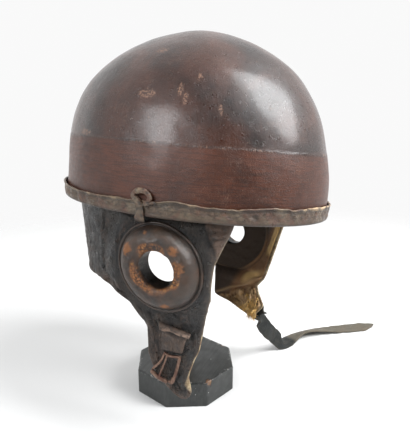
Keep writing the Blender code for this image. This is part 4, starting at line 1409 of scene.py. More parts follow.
@dataclass
class Hanging:
    """The leather that hangs inside the rim: where its outer face lies, and the flaps' outlines."""

    half_width: float = 0.1036 - 0.0068
    front_length: float = 0.129 - 0.008
    nape_length: float = 0.129 - 0.0165
    nape_tuck: float = 0.015
    drop: float = 0.1668
    reach: float = 0.073
    curtain_drop: float = 0.068
    curtain_join: float = 0.052
    ear_back: float = 0.0183
    ear_drop: float = 0.0416
    ear_turn: float = math.radians(7.0)
    ear_flat: float = 0.0395
    ear_blend: float = 0.022
    ear_hole: float = 0.0172
    tuck: dict = field(default_factory=lambda: {Side.RIGHT: (("drop", "half"), (-0.1, 1.0), (0.06, 1.0),
        (0.25, 0.99), (0.41, 0.975), (0.59, 0.925), (0.83, 0.862), (1.07, 0.81)),
        Side.LEFT: (("drop", "half"), (-0.1, 0.955), (0.06, 0.955), (0.25, 0.948), (0.41, 0.935),
        (0.59, 0.905), (0.83, 0.835), (1.07, 0.78))})
    stand: dict = field(default_factory=lambda: {Side.RIGHT: 0.992, Side.LEFT: 0.948})
    folds: dict = field(default_factory=lambda: {Side.RIGHT: (("drop", "reach", "height", "tall", "wide"),
        (0.345, 0.56, 0.01, 0.02, 0.2), (0.385, 0.48, -0.009, 0.018, 0.22), (0.2, 0.64, 0.011, 0.16, 0.05),
        (0.47, -0.24, -0.006, 0.03, 0.3)), Side.LEFT: (("drop", "reach", "height", "tall", "wide"),
        (0.52, -0.45, 0.011, 0.024, 0.42), (0.57, -0.42, -0.013, 0.024, 0.4),
        (0.64, -0.52, 0.01, 0.03, 0.12), (0.69, -0.65, -0.009, 0.03, 0.1),
        (0.7, -0.34, 0.009, 0.026, 0.16))})
    outline: dict = field(default_factory=lambda: {Side.RIGHT: (("drop", "rear", "front"),
        (-0.048, 0.712, -1.02), (0.0, 0.712, -1.004), (0.036, 0.712, -0.985), (0.105, 0.712, -0.936),
        (0.214, 0.712, -0.862), (0.3, 0.712, -0.85), (0.398, 0.712, -0.845), (0.408, 0.64, -0.834),
        (0.418, 0.42, -0.828), (0.441, 0.208, -0.815), (0.463, 0.11, -0.806), (0.5, 0.047, -0.78),
        (0.56, -0.047, -0.755), (0.6, -0.077, -0.745), (0.69, -0.083, -0.715), (0.75, -0.088, -0.662),
        (0.828, -0.145, -0.61), (0.86, -0.18, -0.596), (0.907, -0.264, -0.62), (0.945, -0.345, -0.634),
        (0.967, -0.4, -0.625), (0.994, -0.49, -0.59)),
        Side.LEFT: (("drop", "rear", "front"), (-0.048, 0.712, -1.2), (0.0, 0.712, -1.186),
        (0.036, 0.712, -1.172), (0.158, 0.712, -1.123), (0.265, 0.712, -1.06), (0.361, 0.712, -1.005),
        (0.398, 0.712, -0.986), (0.412, 0.48, -0.977), (0.422, 0.33, -0.972), (0.444, 0.19, -0.958),
        (0.49, 0.06, -0.93), (0.537, 0.0, -0.889), (0.57, -0.02, -0.83), (0.59, -0.03, -0.796),
        (0.632, -0.04, -0.834), (0.665, -0.048, -0.889), (0.705, -0.058, -0.948), (0.716, -0.075, -0.938),
        (0.733, -0.17, -0.915), (0.744, -0.33, -0.89), (0.77, -0.51, -0.85), (0.788, -0.615, -0.825),
        (0.8, -0.69, -0.8))})

    def half(self, side: Side, y: Array, z: Array) -> Array:
        """Distance of the outer face from the middle plane.

        It is an ellipse that narrows downwards, made flat round the ear.

        Args:
            side: Which flap.
            y: Places along Y.
            z: Heights.

        Returns:
            The distances.
        """
        table = columns(self.tuck[side])
        wide = self.half_width * eased(-z / self.drop, table["drop"], table["half"], 0.02)
        nape = self.nape_length - self.nape_tuck * cut(-z / self.curtain_drop)
        length = np.where(y > 0.0, nape, self.front_length)
        hang = wide * np.sqrt(cut(1.0 - (y / length) ** 2))
        flat = self.stand[side] * self.half_width + (y + self.ear_back) * math.tan(self.ear_turn)
        away = np.hypot(y + self.ear_back, z + self.ear_drop)
        blend = np.maximum((away - self.ear_flat) / self.ear_blend, (z + 0.006) / 0.0055)
        blend = rise(blend)
        return flat * (1.0 - blend) + hang * blend

    def face(self, side: Side, y: Array, z: Array, lift: Array | float = 0.0) -> Array:
        """Points on, or lifted off, the outer face with its main folds.

        Each fold is a bell over the sheet, and the lift goes along the normal,
        which comes from the slopes of the distance.

        Args:
            side: Which flap.
            y: Places along Y.
            z: Heights.
            lift: Height above the face.

        Returns:
            Points, three coordinates each.
        """
        rows = columns(self.folds[side])

        def surface(yy: Array, zz: Array) -> Array:
            """The folded distance from the middle plane."""
            x = self.half(side, yy, zz)
            calm = rise((self.curtain_join - yy) / 0.009)
            for i in range(len(rows["drop"])):
                dz = (-zz / self.drop - rows["drop"][i]) / rows["tall"][i]
                dy = (yy / self.reach - rows["reach"][i]) / rows["wide"][i]
                x = x + calm * rows["height"][i] * self.drop * np.exp(-dz * dz - dy * dy)
            return x

        step = 0.0005
        x = surface(y, z)
        slope_y = (surface(y + step, z) - surface(y - step, z)) / (2.0 * step)
        slope_z = (surface(y, z + step) - surface(y, z - step)) / (2.0 * step)
        normal = unit(pack(np.ones_like(x), -slope_y, -slope_z))
        lift = np.asarray(lift, float) * np.ones_like(x)
        point = pack(x, y, z) + normal * lift[..., None]
        point[..., 0] *= side.sign
        return point

    def at(self, side: Side, drop: Array, reach: Array, lift: Array | float = 0.0) -> Array:
        """Points on a flap by shares of its drop and reach."""
        return self.face(side, np.asarray(reach, float) * self.reach, -np.asarray(drop, float) * self.drop,
            lift)

    def ear_frame(self, side: Side) -> tuple[Array, Array]:
        """Where an ear opening lies and faces.

        Args:
            side: Which flap.

        Returns:
            Its centre, and its side, up and outward directions as rows.
        """
        centre = np.array([side.sign * self.stand[side] * self.half_width, -self.ear_back, -self.ear_drop])
        out = unit(np.array([side.sign, -math.tan(self.ear_turn), 0.0]))
        up = np.array([0.0, 0.0, 1.0])
        return centre, np.stack([unit(np.cross(up, out)), up, out])


@dataclass
class EarFlap:
    """One ear flap, with its round opening, creases and worn edges."""

    hang: Hanging
    side: Side
    across: int = 150
    down: int = 190
    lines: tuple = (("drop_a", "reach_a", "drop_b", "reach_b", "wide", "deep"),
        (0.105, 0.29, 0.19, 0.275, 0.0011, 0.001), (0.11, 0.335, 0.2, 0.315, 0.0009, -0.0006),
        (0.02, 0.56, 0.15, 0.6, 0.001, 0.0009), (0.02, 0.6, 0.16, 0.64, 0.0009, -0.0006),
        (0.04, 0.42, 0.13, 0.4, 0.0008, 0.0005), (0.315, 0.64, 0.405, 0.3, 0.0012, 0.001),
        (0.345, 0.64, 0.425, 0.23, 0.001, -0.0006), (0.335, 0.5, 0.44, 0.13, 0.0013, 0.0012),
        (0.27, 0.6, 0.345, 0.42, 0.0009, 0.0007), (0.395, 0.09, 0.465, 0.02, 0.0011, 0.0012),
        (0.415, 0.15, 0.48, 0.06, 0.0008, -0.0006), (0.43, 0.02, 0.5, -0.06, 0.0009, 0.001),
        (0.48, -0.13, 0.64, -0.2, 0.0015, 0.0016), (0.5, -0.09, 0.66, -0.15, 0.0012, -0.001),
        (0.54, -0.06, 0.7, -0.105, 0.0011, 0.0011), (0.52, -0.2, 0.59, -0.245, 0.001, 0.0012),
        (0.66, -0.13, 0.78, -0.15, 0.0012, 0.001), (0.68, -0.19, 0.8, -0.2, 0.001, -0.0007),
        (0.47, -0.33, 0.51, -0.56, 0.0011, 0.0011), (0.455, -0.42, 0.48, -0.64, 0.0009, 0.0006),
        (0.56, -0.665, 0.72, -0.6, 0.0012, 0.0009), (0.62, -0.64, 0.84, -0.545, 0.0011, -0.0007),
        (0.9, -0.43, 0.955, -0.52, 0.003, 0.0013), (0.3, -0.8, 0.42, -0.78, 0.0009, 0.0006),
        (0.21, -0.8, 0.38, -0.79, 0.0012, -0.0008), (0.2, -0.745, 0.36, -0.745, 0.0012, 0.0009),
        (0.06, -0.64, 0.17, -0.69, 0.0012, -0.0007), (0.0, -0.686, 0.186, -0.876, 0.0009, 0.0009),
        (0.03, -0.73, 0.028, -0.94, 0.001, -0.0011), (0.048, -0.75, 0.046, -0.93, 0.0009, 0.0007),
        (0.066, -0.765, 0.063, -0.93, 0.001, -0.001), (0.083, -0.78, 0.081, -0.92, 0.0009, 0.0006),
        (0.1, -0.8, 0.097, -0.91, 0.001, -0.0008), (0.128, -0.83, 0.124, -0.9, 0.0009, -0.0006))

    def drawn(self, y: Array, z: Array) -> Array:
        """Depth of the listed creases, each a bell of the distance to its segment.

        Args:
            y: Coordinates along Y.
            z: Heights.

        Returns:
            Depths, negative where a fold stands up.
        """
        table = columns(self.lines)
        depth = np.zeros_like(y)
        a = pack(table["reach_a"] * self.hang.reach, -table["drop_a"] * self.hang.drop)
        b = pack(table["reach_b"] * self.hang.reach, -table["drop_b"] * self.hang.drop)
        wander = 0.0007 * waves(pack(y, z), 0.014, 29, 2)
        for start, end, wide, deep in zip(a, b, table["wide"], table["deep"]):
            run = end - start
            share = ((y - start[0]) * run[0] + (z - start[1]) * run[1]) / (run @ run)
            held = cut(share)
            away = np.hypot(y + wander - start[0] - held * run[0], z - start[1] - held * run[1])
            taper = 0.35 + 0.65 * np.sin(math.pi * cut(share))
            depth += deep * taper * bell(away / wide)
        return depth

    def grid(self, top: float, low: float, inset: float, across: int, down: int) -> tuple:
        """Places over the flap's outline, closer together along its edges.

        Args:
            top: First row, as a share of the drop.
            low: Last row.
            inset: Distance inside the outline, in metres.
            across: Columns.
            down: Rows.

        Returns:
            Coordinates along Y, heights, distances to the nearest side edge and to the low end, and
            each column's share of the width, or of the nearest place in its row.
        """
        table = columns(self.hang.outline[self.side])
        even = np.linspace(0.0, 1.0, 900)
        drops = top + (low - top) * even
        bend = 1.0 + 2.2 * bell((drops - 0.43) / 0.03) + 1.6 * bell((drops - low) / 0.012)
        run = np.cumsum(bend)
        drop = np.interp(np.linspace(run[0], run[-1], down), run, drops)
        rear = eased(drop, table["drop"], table["rear"], 0.0042) * self.hang.reach - inset
        front = eased(drop, table["drop"], table["front"], 0.0042) * self.hang.reach + inset
        width = rear - front
        middle = 0.5 * (rear + front)
        close = cut((low - drop) / 0.016)
        narrow = np.where(width < 0.04, np.sqrt(np.clip(1.0 - (1.0 - close) ** 2, 0.0004, 1.0)), 1.0)
        rear = middle + 0.5 * width * narrow
        front = middle - 0.5 * width * narrow
        edge = np.array([0.0, 0.0035, 0.0085, 0.015, 0.023])
        share = np.concatenate([edge, np.linspace(0.032, 0.968, across - 10), 1.0 - edge[::-1]])
        y = rear[:, None] + (front - rear)[:, None] * share
        z = np.broadcast_to(-drop[:, None] * self.hang.drop, y.shape).copy()
        side_edge = np.minimum(share, 1.0 - share) * (rear - front)[:, None]
        end_edge = np.broadcast_to(((low - drop) * self.hang.drop)[:, None], y.shape)
        return y, z, side_edge, end_edge, share

    def open_ear(self, y: Array, z: Array, radius: float) -> Array:
        """Move the grid's points onto the rim of the ear opening, and say which cells it takes.

        Args:
            y: Coordinates along Y, changed in place.
            z: Heights, changed in place.
            radius: The opening's radius.

        Returns:
            True for each cell inside the opening.
        """
        dy, dz = y + self.hang.ear_back, z + self.hang.ear_drop
        away = np.maximum(np.hypot(dy, dz), 1e-09)
        inside = away < radius
        gone = inside[:-1, :-1] & inside[:-1, 1:] & inside[1:, 1:] & inside[1:, :-1]
        rim = inside.copy()
        kept = ~gone
        touched = np.zeros_like(inside)
        touched[:-1, :-1] |= kept
        touched[:-1, 1:] |= kept
        touched[1:, 1:] |= kept
        touched[1:, :-1] |= kept
        rim &= touched
        y[rim] = dy[rim] / away[rim] * radius - self.hang.ear_back
        z[rim] = dz[rim] / away[rim] * radius - self.hang.ear_drop
        return gone

    def wear(self, y: Array, z: Array) -> tuple[Array, Array]:
        """Depth of the creases and the swell between them.

        Creases come from stretched noise, kept off the top and stronger at the
        rear corner and down the tongue.

        Args:
            y: Coordinates along Y.
            z: Heights.

        Returns:
            Depths from 0 to 1, and the swell about zero.
        """
        drop = -z / self.hang.drop
        below = rise((drop - 0.02) / 0.08)
        tongue = rise((drop - 0.42) / 0.12)
        rear = rise((y - 0.012) / 0.03)
        seed = 31 if self.side is Side.RIGHT else 61
        first = creases(y, z, 0.016, 0.0052, -24.0, seed) * rear * rise((drop - 0.16) / 0.12)
        second = creases(y, z, 0.02, 0.0062, 72.0, seed + 1) * tongue
        third = creases(y, z, 0.009, 0.005, 15.0, seed + 2) * 0.55
        fourth = (creases(y, z, 0.011, 0.0042, 84.0, seed + 3) * rear
            * (1.0 - rise((drop - 0.14) / 0.1)) * 0.8)
        ring = np.hypot(y + self.hang.ear_back, z + self.hang.ear_drop)
        seam = bell((ring - 0.0435) / 0.0007)
        valley = cut(np.maximum.reduce([first, second, third, fourth])) * below
        valley = np.maximum(valley, 0.5 * seam * below)
        swell = waves(pack(y, z), 0.02, seed + 4, 3) * below
        return valley, swell

    def skin(self) -> Skin:
        """The flap's outer and inner face, closed round its edges and its opening."""
        low = 0.9975 if self.side is Side.RIGHT else 0.803
        y, z, side_edge, end_edge, share = self.grid(-0.048, low, 0.0, self.across, self.down)
        gone = self.open_ear(y, z, self.hang.ear_hole)
        valley, swell = self.wear(y, z)
        ring = np.hypot(y + self.hang.ear_back, z + self.hang.ear_drop)
        free = rise((np.abs(ring - 0.0272) - 0.012) / 0.004)
        pinch = 0.001
        joined = (share < 0.5) & (-z < 0.0672)
        near = np.minimum(np.where(joined, 0.02, side_edge), end_edge)
        round_off = pinch * 0.75 * (1.0 - np.sqrt(cut(1.0 - cut(1.0 - near / pinch) ** 2)))
        calm = free * rise((-z - 0.002) / 0.006)
        drop = -z / self.hang.drop
        quiet = 1.0 - 0.75 * bell((drop - 0.72) / 0.1) * bell((y / self.hang.reach + 0.36) / 0.16)
        calm = calm * rise((self.hang.curtain_join - y) / 0.003)
        deep = self.drawn(y, z) if self.side is Side.RIGHT else np.zeros_like(y)
        hemmed = 0.2 + 0.8 * rise((near - 0.0015) / 0.007)
        relief = (0.00046 * swell - 0.0007 * valley - deep) * calm * quiet * hemmed
        if self.side is Side.RIGHT:
            patch = rise((0.2 - drop) / 0.012) * rise((-y - 0.0503 - 0.0734 * drop) / 0.0014)
            relief += 0.0009 * patch * rise((side_edge - 0.0005) / 0.002)
            bevel = rise((drop - 0.86) / 0.06) * rise((0.004 - near) / 0.0012)
            relief -= 0.0006 * bevel
        else:
            patch = np.zeros_like(y)
            bevel = np.zeros_like(y)
        outer = self.hang.face(self.side, y, z, relief - round_off)
        inner = self.hang.face(self.side, y, z, -LEATHER + round_off)
        edge = np.exp(-near / 0.0016)
        front = rise((share - 0.5) * 40.0) * np.ones_like(y)
        if self.side is Side.RIGHT:
            wide = 0.0008 + 0.003 * bell((drop - 0.905) / 0.035)
            raw = front * rise((drop - 0.585) / 0.03) * rise((0.955 - drop) / 0.02)
            raw = raw * rise((wide * 1.5 - side_edge) / wide)
            thin = 0.5 * front * np.exp(-side_edge / 0.0006) * rise((drop - 0.04) / 0.05)
            raw = np.maximum(raw, thin * rise((0.97 - drop) / 0.02))
        else:
            raw = 0.8 * np.exp(-near / 0.0008) * rise((drop - 0.1) / 0.1)
        brown = cut(patch + 0.5 * rise((drop - 0.5) / 0.1) * bell((share - 0.12) / 0.3))
        brown = cut(brown + 0.5 * bell((drop - 0.4) / 0.03) * rise((y - 0.01) / 0.02) + 0.5 * bevel)
        # The crease mark on the outer face is painted shade in the valleys of the creases and the listed
        # grooves.
        folded = cut(valley + 900.0 * np.maximum(deep, 0.0))
        stands = cut(swell + 1100.0 * np.maximum(-deep, 0.0))
        hem = 0.9 * front * rise((0.0036 - side_edge) / 0.001) if self.side is Side.LEFT else raw
        marks = {"crease": (folded * calm, np.zeros_like(y)), "ridge": stands * calm, "edge": edge,
            "raw": (raw, np.maximum(raw, hem)), "brown": brown}
        return walled(outer, inner, pack(y, z), marks, gone)


@dataclass
class FlapLining(EarFlap):
    """The lining inside the far flap, crumpled and frayed at its lower end."""

    wall: float = 0.0014
    gap: float = 0.0011
    hole: float = 0.016
    seam_radius: float = 0.0452

    def skin(self) -> Skin:
        """The lining's two faces, its crumples, and the stuffing that comes out at the bottom."""
        y, z, side_edge, end_edge, share = self.grid(0.0, 0.792, 0.0012, 100, 130)
        gone = self.open_ear(y, z, self.hole)
        drop = -z / self.hang.drop
        away = np.hypot(y + self.hang.ear_back, z + self.hang.ear_drop)
        seam = bell((away - self.seam_radius) / 0.001)
        dip = bell((away - self.seam_radius - 0.0028) / 0.0012)
        line = z + 0.1132 + (y + 0.0145) * 0.511
        ridge = bell(line / 0.0016) * rise((-y - 0.002) / 0.01)
        under = bell((line + 0.0034) / 0.0017) * rise((-y - 0.002) / 0.012)
        low = rise((-line - 0.002) / 0.01)
        tight = creases(y, z, 0.012, 0.0062, 62.0, 71)
        loose = waves(pack(y, z), 0.013, 72, 3)
        ahead = rise((share - 0.5) * 40.0) * rise((0.4 - drop) / 0.1)
        close = rise((0.0082 - side_edge) / 0.0055) * ahead
        hem = bell((side_edge - 0.0062) / 0.0006) * ahead
        relief = 0.0006 * seam - 0.0004 * dip + 0.0013 * ridge - 0.0008 * under
        relief += low * (0.0022 * loose - 0.0024 * tight) - 0.0004 * hem
        relief += 0.00018 * waves(pack(y, z), 0.012, 73, 2)
        near = np.minimum(side_edge, end_edge)
        ease = rise(near / 0.0022)
        base = -(LEATHER + self.gap)
        rounded = 0.0005 * (1.0 - rise(near / 0.0012))
        outer = self.hang.face(self.side, y, z, base - rounded)
        inner = self.hang.face(self.side, y, z,
            base - self.wall + rounded - np.clip(relief, -0.001, 0.0042) * ease)
        tone = 0.08 + 0.42 * rise((-y - 0.052 + 0.1 * (drop - 0.3)) / 0.018)
        tone = tone + 0.55 * close
        tone = np.maximum(tone, 0.5 * rise((drop - 0.42) / 0.14) * rise((-y - 0.02) / 0.03))
        tone = np.maximum(tone, 0.62 * low)
        olive = bell((line - 0.0055) / 0.004) * bell((y + 0.052) / 0.014)
        tone = cut(tone + 0.45 * olive)
        dark = rise((self.seam_radius - away) / 0.004)
        tone = tone * (1.0 - 0.93 * dark * (1.0 - close))
        # The crease mark is painted shade in the crumples' valleys, the hem groove and the dip beside the
        # seam.
        pits = cut(tight * low + 0.6 * hem + 0.5 * dip)
        fray = rise((drop - 0.705) / 0.05) * rise((-y - 0.034) / 0.012) * cut(0.5 + 0.8 * loose)
        zero = np.zeros_like(y)
        marks = {"tone": (zero, tone), "crease": (zero, pits),
            "ridge": (zero, cut(ridge + 0.3 * seam + low * loose)), "crumple": (zero, low),
            "fray": (zero, fray)}
        sheet = walled(outer, inner, pack(y, z), marks, gone)
        return sheet.joined(self.stuffing())

    def stuffing(self) -> Skin:
        """Tufts of frayed fibre, each a short tapered bent tube, at the flap's lower end."""
        rng = np.random.default_rng(77)
        count, steps, sides = 340, 6, 4
        drop = rng.uniform(0.66, 0.792, count)
        spread = (drop - 0.66) / 0.132
        reach = rng.uniform(-0.86 + 0.02 * spread, -0.64 - 0.08 * spread)
        root = self.hang.at(self.side, drop, reach, -(LEATHER + self.gap + self.wall * 0.9))
        inward = np.array([-1.0, 0.0, 0.0])
        down = np.array([0.0, -0.35, -1.0])
        way = unit(down * rng.uniform(0.5, 1.5, (count, 1)) + inward * rng.uniform(0.1, 0.6, (count, 1))
            + rng.normal(0.0, 0.45, (count, 3)))
        bend = rng.normal(0.0, 0.55, (count, 3)) - [0.0, 0.0, 0.5]
        length = rng.uniform(0.003, 0.0075, (count, 1, 1))
        t = np.linspace(0.0, 1.0, steps)[None, :, None]
        path = root[:, None] + length * (way[:, None] * t + bend[:, None] * t ** 2 * 0.5)
        path[..., 0] = np.minimum(path[..., 0], root[:, None, 0] + 0.0004)
        side_way = unit(np.cross(way, rng.normal(size=(count, 3))))
        other = unit(np.cross(way, side_way))
        radius = (rng.uniform(0.00028, 0.0007, (count, 1, 1)) * (1.0 - 0.85 * t))[..., None]
        angle = turns(sides)
        ring = (side_way[:, None, None] * np.cos(angle)[None, None, :, None]
            + other[:, None, None] * np.sin(angle)[None, None, :, None])
        points = path[:, :, None] + ring * radius
        index = np.arange(count * steps * sides).reshape(count, steps, sides)
        nxt = np.roll(index, -1, 2)
        quads = pack(index[:, :-1], nxt[:, :-1], nxt[:, 1:], index[:, 1:]).reshape(-1, 4)
        caps = np.concatenate([index[:, 0, ::-1], index[:, -1]])
        faces = np.vstack([quads, caps])
        flat = points.reshape(-1, 3)
        skin = Skin(flat, faces.tolist(), flat[faces.reshape(-1)][:, 1:] * 3.0,
            {"fray": np.ones(len(flat))})
        return skin.outward()


@dataclass
class EarRing:
    """The padded ring round an ear opening."""

    hang: Hanging
    side: Side
    radius: float = 0.0376
    height: float = 0.014
    narrow: float = 0.865
    tilt: float = math.radians(133.0)
    around: int = 220
    sleeve: dict = field(default_factory=lambda: {Side.RIGHT: 0.01, Side.LEFT: 0.0022})
    # The deep column is painted shade: black down the sleeve into the hole and at the groove round the
    # outer foot.
    section: tuple = (("radius", "height", "lip", "deep"), (0.426, 0.0, 0.0, 1.0), (0.428, 0.2, 0.0, 1.0),
        (0.43, 0.5, 0.4, 0.8), (0.436, 0.74, 0.9, 0.3), (0.452, 0.875, 1.0, 0.0), (0.488, 0.945, 1.0, 0.0),
        (0.556, 0.985, 0.8, 0.0), (0.625, 1.003, 0.3, 0.0), (0.69, 1.0, 0.0, 0.0), (0.76, 0.945, 0.0, 0.0),
        (0.83, 0.83, 0.0, 0.0), (0.89, 0.655, 0.0, 0.0), (0.94, 0.455, 0.0, 0.0), (0.972, 0.27, 0.0, 0.0),
        (0.988, 0.165, 0.0, 0.2), (1.004, 0.15, 0.0, 0.5), (1.022, 0.185, 0.0, 0.0),
        (1.048, 0.19, 0.0, 0.0), (1.066, 0.13, 0.0, 0.0), (1.07, 0.0, 0.0, 0.5))

    def skin(self) -> Skin:
        """The ring's section carried round the ear, with slack leather and radial cracks at its lip."""
        depth = self.sleeve[self.side] / self.height
        tube_rows = np.array([(0.452, 0.0, 0.0, 1.0), (0.448, -0.5 * depth, 0.0, 1.0),
            (0.444, -0.97 * depth, 0.0, 1.0), (0.432, -depth, 0.0, 1.0), (0.422, -0.96 * depth, 0.0, 1.0)])
        rows = smooth_run(np.vstack([tube_rows, np.array(self.section[1:], float)]), 96)
        theta = turns(self.around)
        radius, height, lip, deep = (np.broadcast_to(rows[:, k], (self.around, len(rows)))
            for k in range(4))
        seed = 41 if self.side is Side.RIGHT else 45
        ring = pack(np.cos(theta), np.sin(theta))[:, None] * np.ones((1, len(rows), 1))
        flat = ring * radius[..., None] * self.radius
        dome = cut(height) ** 1.5
        lump = waves(flat, 0.03, seed, 2)
        fine = waves(flat, 0.009, seed + 1, 2)
        run = theta[:, None] * self.radius * 0.6 * np.ones_like(radius)
        split = creases(run, radius * self.radius, 0.0012, 0.008, 0.0, seed + 2)
        split = split * bell((radius - 0.53) / 0.09) * cut(0.4 + lump)
        lift = height * self.height + dome * (0.00045 * lump + 0.00018 * fine) - 0.00055 * split
        wide = radius * self.radius + 0.0002 * fine * (radius < 0.6) * (height > 0.1)
        main = self.tilt if self.side is Side.RIGHT else math.pi - self.tilt
        turn = theta[:, None] - main
        wide = wide / np.hypot(np.cos(turn), np.sin(turn) / self.narrow)
        lift = np.where(radius > 0.49, np.maximum(lift, 0.0), lift)
        centre, axes = self.hang.ear_frame(self.side)
        x, y = ring[..., 0] * wide, ring[..., 1] * wide
        points = (centre + x[..., None] * axes[0] + y[..., None] * axes[1]
            + (lift + 1.5 * GAP)[..., None] * axes[2])
        # The crease mark is painted shade in the groove at the ring's outer foot, and darkens the radial
        # splits, partly as cracks and partly as shade.
        groove = bell((radius - 1.0) / 0.012) * (height < 0.4)
        marks = {"lip": cut(lip * (0.8 + 0.5 * lump)), "deep": cut(deep),
            "crease": cut(0.8 * groove + 0.9 * split)}
        u = np.concatenate([rows[:, 0], [rows[0, 0]]]) * self.radius
        v = np.linspace(0.0, 0.2, self.around + 1)
        return loft(points, u, v, marks, wrap_rows=True)


@dataclass
class NeckCurtain:
    """The pleated leather round the nape, from one flap to the other."""

    hang: Hanging
    top: float = 0.008
    gap: float = 0.0003
    folds: int = 9
    depth: float = 0.0011
    across: int = 260
    down: int = 64

    def skin(self) -> Skin:
        """A sheet round the nape, whose pleats open downwards as a sine of the angle."""
        z = np.linspace(self.top, -self.hang.curtain_drop, self.down)
        drop = -z / self.hang.drop
        halves = []
        for side in (Side.LEFT, Side.RIGHT):
            table = columns(self.hang.tuck[side])
            halves.append(self.hang.half_width * np.interp(drop, table["drop"], table["half"]))
        share_down = cut(-z / self.hang.curtain_drop)
        nape = self.hang.nape_length - self.hang.nape_tuck * share_down
        start = np.arcsin((self.hang.curtain_join + self.gap) / nape)
        edge = np.array([0.0, 0.002, 0.005, 0.009])
        s = np.concatenate([edge, np.linspace(0.013, 0.987, self.across - 8), 1.0 - edge[::-1]])
        angle = start[:, None] + (math.pi - 2.0 * start)[:, None] * s
        weight = 0.5 + 0.5 * np.cos(angle)
        half = halves[0][:, None] * weight + halves[1][:, None] * (1.0 - weight)
        inward = np.minimum(s, 1.0 - s) * 2.0
        ease = cut(4.0 * inward) * share_down[:, None]
        phase = 2.0 * self.folds * (angle - start[:, None])
        fold = self.depth * np.sin(phase) * ease
        run = angle * 0.1
        level = np.broadcast_to(z[:, None], run.shape)
        valley = (creases(run, level, 0.02, 0.007, 78.0, 81) * 0.8
            + creases(run, level, 0.012, 0.006, 6.0, 82) * 0.4)
        valley = cut(valley) * rise(share_down[:, None] * 3.0)
        swell = waves(pack(run, level), 0.018, 83, 2) * share_down[:, None]
        near = level + self.hang.curtain_drop
        rounded = 0.0008 * (1.0 - rise(near / 0.0012))

        def ring(out: Array) -> Array:
            """Points this far outside the nape's ellipse."""
            return pack((half + out) * np.cos(angle), (nape[:, None] + out) * np.sin(angle), level)

        calm = cut(share_down[:, None] * 6.0) * rise(np.minimum(s, 1.0 - s) / 0.02)
        outer = ring(fold + (0.0004 * swell - 0.0005 * valley) * calm - rounded)
        inner = ring(fold - LEATHER + rounded)
        # The crease mark on the outer face is painted shade in the valleys of the creases.
        marks = {"crease": (valley * calm, np.zeros_like(run)), "ridge": cut(swell),
            "edge": np.exp(-near / 0.0016), "raw": 0.35 * np.exp(-near / 0.0007),
            "brown": 0.5 * cut(np.sin(phase)) * ease}
        return walled(outer, inner, pack(run, level), marks)


@dataclass
class BuckleTab:
    """The doubled leather tab that carries the buckle, thickest at its roll."""

    hang: Hanging
    wall: float = 0.0026
    roll: float = 0.0024
    corners: tuple = (("drop", "reach"), (0.535, -0.268), (0.595, -0.612), (0.712, -0.536), (0.706, -0.238))

    def skin(self) -> Skin:
        """A four-cornered pad on the flap, with a bell-shaped roll across its top and rounded sides."""
        u = np.linspace(0.0, 1.0, 60)
        v = np.linspace(0.0, 1.0, 64)
        uu, vv = np.meshgrid(u, v)
        table = columns(self.corners)
        narrow = 0.085 * rise((vv - 0.18) / 0.1)
        across = 0.5 + (uu - 0.5) * (1.0 - narrow * 1.6) + 0.012 * np.sin(9.0 * vv)
        d, r = table["drop"], table["reach"]
        drop = (d[0] * (1 - across) + d[1] * across) * (1 - vv) + (d[3] * (1 - across) + d[2] * across) * vv
        reach = ((r[0] * (1 - across) + r[1] * across) * (1 - vv)
            + (r[3] * (1 - across) + r[2] * across) * vv)
        side = np.minimum(uu, 1.0 - uu) * 0.025
        end = np.minimum(vv, 1.0 - vv) * 0.025
        rounded = np.sqrt(cut(1.0 - cut(1.0 - np.minimum(side, end) / 0.0013) ** 2))
        flat = pack(uu * 0.024, vv * 0.025)
        swell = waves(flat, 0.01, 91, 3)
        valley = creases(flat[..., 0], flat[..., 1], 0.012, 0.006, 74.0, 92)
        hump = self.roll * bell((vv - 0.095) / 0.085) * (1.0 + 0.15 * swell)
        under = 0.0009 * bell((vv - 0.27) / 0.05)
        top = self.wall * (0.8 + 0.1 * swell) + hump - under - 0.0004 * valley * rise((vv - 0.2) / 0.1)
        floor = 2.0 * GAP
        outer = self.hang.at(Side.RIGHT, drop, reach, floor + top * rounded)
        inner = self.hang.at(Side.RIGHT, drop, reach, floor)
        ridge = cut(bell((vv - 0.09) / 0.07) + 0.4 * bell((uu - 0.97) / 0.06))
        # The crease mark is painted shade: the creases' valleys and the dip under the roll.
        crease = cut(valley * 0.7 + bell((vv - 0.265) / 0.045))
        marks = {"ridge": ridge, "crease": crease, "edge": np.exp(-side / 0.001)}
        return walled(outer, inner, flat, marks)


